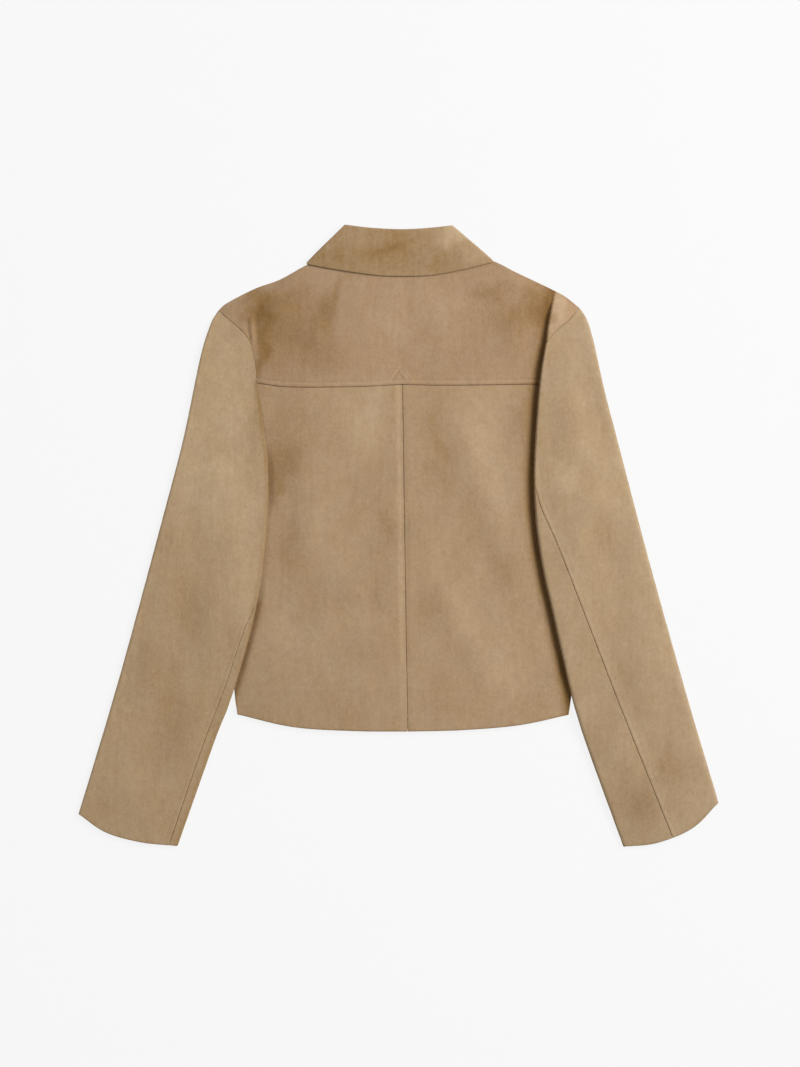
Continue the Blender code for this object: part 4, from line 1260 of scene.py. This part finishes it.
def build_collar(leaf_material, stand_material):
    def leaf_back(plan):
        rise = ease((plan[..., 1] - 300) / 50)
        on_yoke = BACK(np.minimum(plan, [1e9, 318])) + LEAF_LIFT
        soft = uneven(plan, 0.35, 0.22, 0.05)
        return mix(on_yoke, ROLL_LIFT, rise) + 0.9 * np.sin(math.pi * rise) + soft

    def leaf_front(plan):
        return np.full(plan.shape[:-1], FLOOR)

    def stand_back(plan):
        return mix(BACK(plan), ROLL_LIFT - 3.0, ease((plan[..., 1] - 311) / 30))

    def stand_front(plan):
        return np.full(plan.shape[:-1], NECK_FRONT)

    leaf = Band(LEAF_LINES, ROLL_LINES, 1.2)
    shares, outs, drops = leaf_rows()
    spots = leaf.points(leaf.marks(2.6, 1.7, 12), shares, outs, leaf_front, leaf_back, drops)
    collar = piece("collar_leaf", spots, leaf_material, (COLLAR_NAP_AND_HIGHLIGHT, ()))
    stand = Band(NECK_LINES, ROLL_LINES, 0.0)
    shares = np.linspace(0.0, 1.0, STAND_ROWS)
    spots = stand.points(stand.marks(4.0, 4.0, 8), shares, mix(0.45, -3.0, shares), stand_front,
                         stand_back, np.zeros(STAND_ROWS))
    return collar, piece("collar_stand", spots, stand_material)


# ---- stitches and buttons

def sew(name, material, seams):
    """Rows of single stitches; each seam is plan points with their heights."""
    shape = bmesh.new()
    for spots in seams:
        steps = np.linalg.norm(np.diff(spots, axis=0), axis=1)
        marks = np.concatenate([[0.0], np.cumsum(steps)])
        for centre in np.arange(STITCH_STEP / 2, marks[-1], STITCH_STEP):
            ends = [Vector([np.interp(centre + off, marks, spots[:, k]) for k in range(3)])
                    for off in (-STITCH_LONG / 2, STITCH_LONG / 2)]
            middle, run = (ends[0] + ends[1]) / 2, ends[1] - ends[0]
            turn = run.to_track_quat("X", "Z").to_matrix().to_4x4()
            size = Matrix.Diagonal((run.length / 2 * MM, STITCH_WIDE / 2 * MM, STITCH_WIDE / 2 * MM, 1.0))
            place = Matrix.Translation(middle * MM) @ turn @ size
            bmesh.ops.create_uvsphere(shape, u_segments=6, v_segments=4, radius=1.0, matrix=place)
    thing = settle(name, shape, material)
    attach(thing, "root")


ABOVE_ALL = 0.2  # metres, where the view down starts


def surface_over(thing):
    """Height of a piece's upper face over plan points, by looking down on it."""
    seen = thing.evaluated_get(bpy.context.evaluated_depsgraph_get())

    def height(x, y):
        seen_from = Vector((x * MM, y * MM, ABOVE_ALL))
        hit, place = seen.ray_cast(seen_from, Vector((0, 0, -1)))[:2]
        return place.z / MM if hit else None
    return height


def on_surface(height, plan):
    """Plan points with the height of the surface under each."""
    rows = [(x, y, height(x, y)) for x, y in plan]
    return np.array([(x, y, z + STITCH_LIFT) for x, y, z in rows if z is not None])


def build_stitches(pieces, material):
    yoke = surface_over(pieces["back_yoke"])
    back = surface_over(pieces["back_left"])
    above = YOKE_SEAM.offset(YOKE_STITCH).at(np.linspace(0.004, 0.955, 200))
    seams = [on_surface(yoke, above)]
    seams += [on_surface(yoke, slope.at(np.linspace(0, 1, 12))) for slope in YOKE_PEAK]
    sew("yoke_stitches", material, seams)
    beside = CENTRE_BACK.offset(-STITCH_FROM_SEAM)
    run = beside.at(np.linspace(0.006, 0.785, 160))
    bars = []
    for y in BAR_TACKS:
        x = float(CENTRE_BACK.x_at(y))
        bars.append(on_surface(back, [(x - STITCH_FROM_SEAM - 0.5 + i, y) for i in np.linspace(0, 4.6, 6)]))
    sew("centre_back_stitches", material, [on_surface(back, run)] + bars)
    for side in SIDES:
        top = surface_over(pieces[f"sleeve_{side}_top"])
        along = np.linspace(STITCHED_FROM[side], 0.985, 160)
        section = Section(side, along)
        way = section.elbow + STITCH_FROM_SEAM
        spots = section.points(along[:, None], way[:, None])[:, 0]
        sew(f"elbow_stitches_{side}", material, [on_surface(top, spots[:, :2])])


# A button's profile: shares of its radius and of its thickness, from its face's middle to its back's.
BUTTON_PROFILE = (
    (0.0, 0.30), (0.55, 0.30), (0.66, 0.36), (0.76, 0.50), (0.88, 0.50), (0.96, 0.40),
    (1.0, 0.12), (1.0, -0.12), (0.96, -0.40), (0.86, -0.48), (0.0, -0.50),
)


def build_button(node, material):
    """A plain round button with a raised rim, turned from its profile."""
    low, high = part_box(node)
    centre = (low + high) / 2
    radius, thick = (high.x - low.x) / 2, high.z - low.z
    shape = bmesh.new()
    verts = [shape.verts.new((r * radius, 0, -z * thick)) for r, z in BUTTON_PROFILE]
    edges = [shape.edges.new(pair) for pair in zip(verts, verts[1:])]
    bmesh.ops.spin(shape, geom=verts + edges, cent=(0, 0, 0), axis=(0, 0, 1), angle=2 * math.pi,
                   steps=40, use_merge=True)
    bmesh.ops.remove_doubles(shape, verts=shape.verts, dist=1e-6)
    bmesh.ops.recalc_face_normals(shape, faces=shape.faces)
    bmesh.ops.translate(shape, verts=shape.verts, vec=centre)
    thing = settle(f"{node}_visual", shape, material)
    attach(thing, "root")
    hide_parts(node)


# ---- stage

FLOOR_SIZE, FLOOR_DROP = 4.0, 0.0004  # half its width, and how far below the garment, in metres
VIEW_CENTRE = (2.3, 1.7)  # the plan point under the camera
VIEW_TALL = 1227.0  # length of surface that the view shows, along Y
LENS, SENSOR = 85.0, 36.0
WORLD_LIGHT = 0.31
LAMPS = (  # name, power in watts, size in metres, place
    ("key", 95.5, 1.9, (1.9, 0.9, 2.3)),
    ("fill", 8.0, 2.0, (-1.6, 1.4, 2.4)),
)


def build_stage():
    scene = bpy.context.scene
    scene.view_settings.view_transform = "Standard"
    shape = bmesh.new()
    bmesh.ops.create_grid(shape, x_segments=1, y_segments=1, size=FLOOR_SIZE)
    bmesh.ops.translate(shape, verts=shape.verts, vec=(0, 0, -FLOOR_DROP))
    floor = settle("floor", shape, paper())

    world = bpy.data.worlds.new("studio")
    world.use_nodes = True
    back = world.node_tree.nodes["Background"]
    back.inputs["Color"].default_value = (1.0, 0.995, 0.985, 1.0)
    back.inputs["Strength"].default_value = WORLD_LIGHT
    scene.world = world

    for name, power, size, place in LAMPS:
        lamp = bpy.data.lights.new(name, "AREA")
        lamp.shape = "DISK"
        lamp.size = size
        lamp.energy = power
        thing = bpy.data.objects.new(name, lamp)
        thing.location = place
        thing.rotation_euler = Vector(place).to_track_quat("Z", "Y").to_euler()
        scene.collection.objects.link(thing)

    camera = bpy.data.cameras.new("overhead")
    camera.lens = LENS
    camera.sensor_width = SENSOR
    camera.clip_end = 20.0
    eye = bpy.data.objects.new("overhead", camera)
    eye.location = (VIEW_CENTRE[0] * MM, VIEW_CENTRE[1] * MM, VIEW_TALL * MM * LENS / SENSOR)
    scene.collection.objects.link(eye)
    scene.camera = eye


# ---- making everything


def main():
    group = nap_group()
    body = suede("suede_body", group, 0.02, (1.01, 0.99, 0.985))
    yoke = suede("suede_yoke", group, 0.0, (0.985, 0.94, 0.94))
    sleeves = {
        "left": suede("suede_sleeve_left", group, 0.05, (1.06, 1.055, 1.03)),
        "right": suede("suede_sleeve_right", group, 0.05, (0.985, 0.99, 0.99)),
    }
    collar = suede("suede_collar", group, -0.12, (1.0, 0.98, 0.95))
    inside = suede("suede_front", group, -0.02)
    stitch, button = thread(), horn()
    pieces = {
        "back_yoke": build_yoke(yoke),
        "back_left": build_back("left", body),
        "back_right": build_back("right", body),
        "front_right": build_front("right", inside, LOWER_LAP),
        "front_left": build_front("left", inside, UPPER_LAP),
    }
    for side in SIDES:
        top, under = build_sleeve(side, sleeves[side])
        pieces[f"sleeve_{side}_top"], pieces[f"sleeve_{side}_under"] = top, under
    pieces["collar_leaf"], pieces["collar_stand"] = build_collar(collar, inside)
    for node, thing in pieces.items():
        thing.name = f"{node}_visual"
        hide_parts(node)
    for node in sorted(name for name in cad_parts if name.startswith("button")):
        build_button(node, button)
    build_stitches(pieces, stitch)
    build_stage()


main()
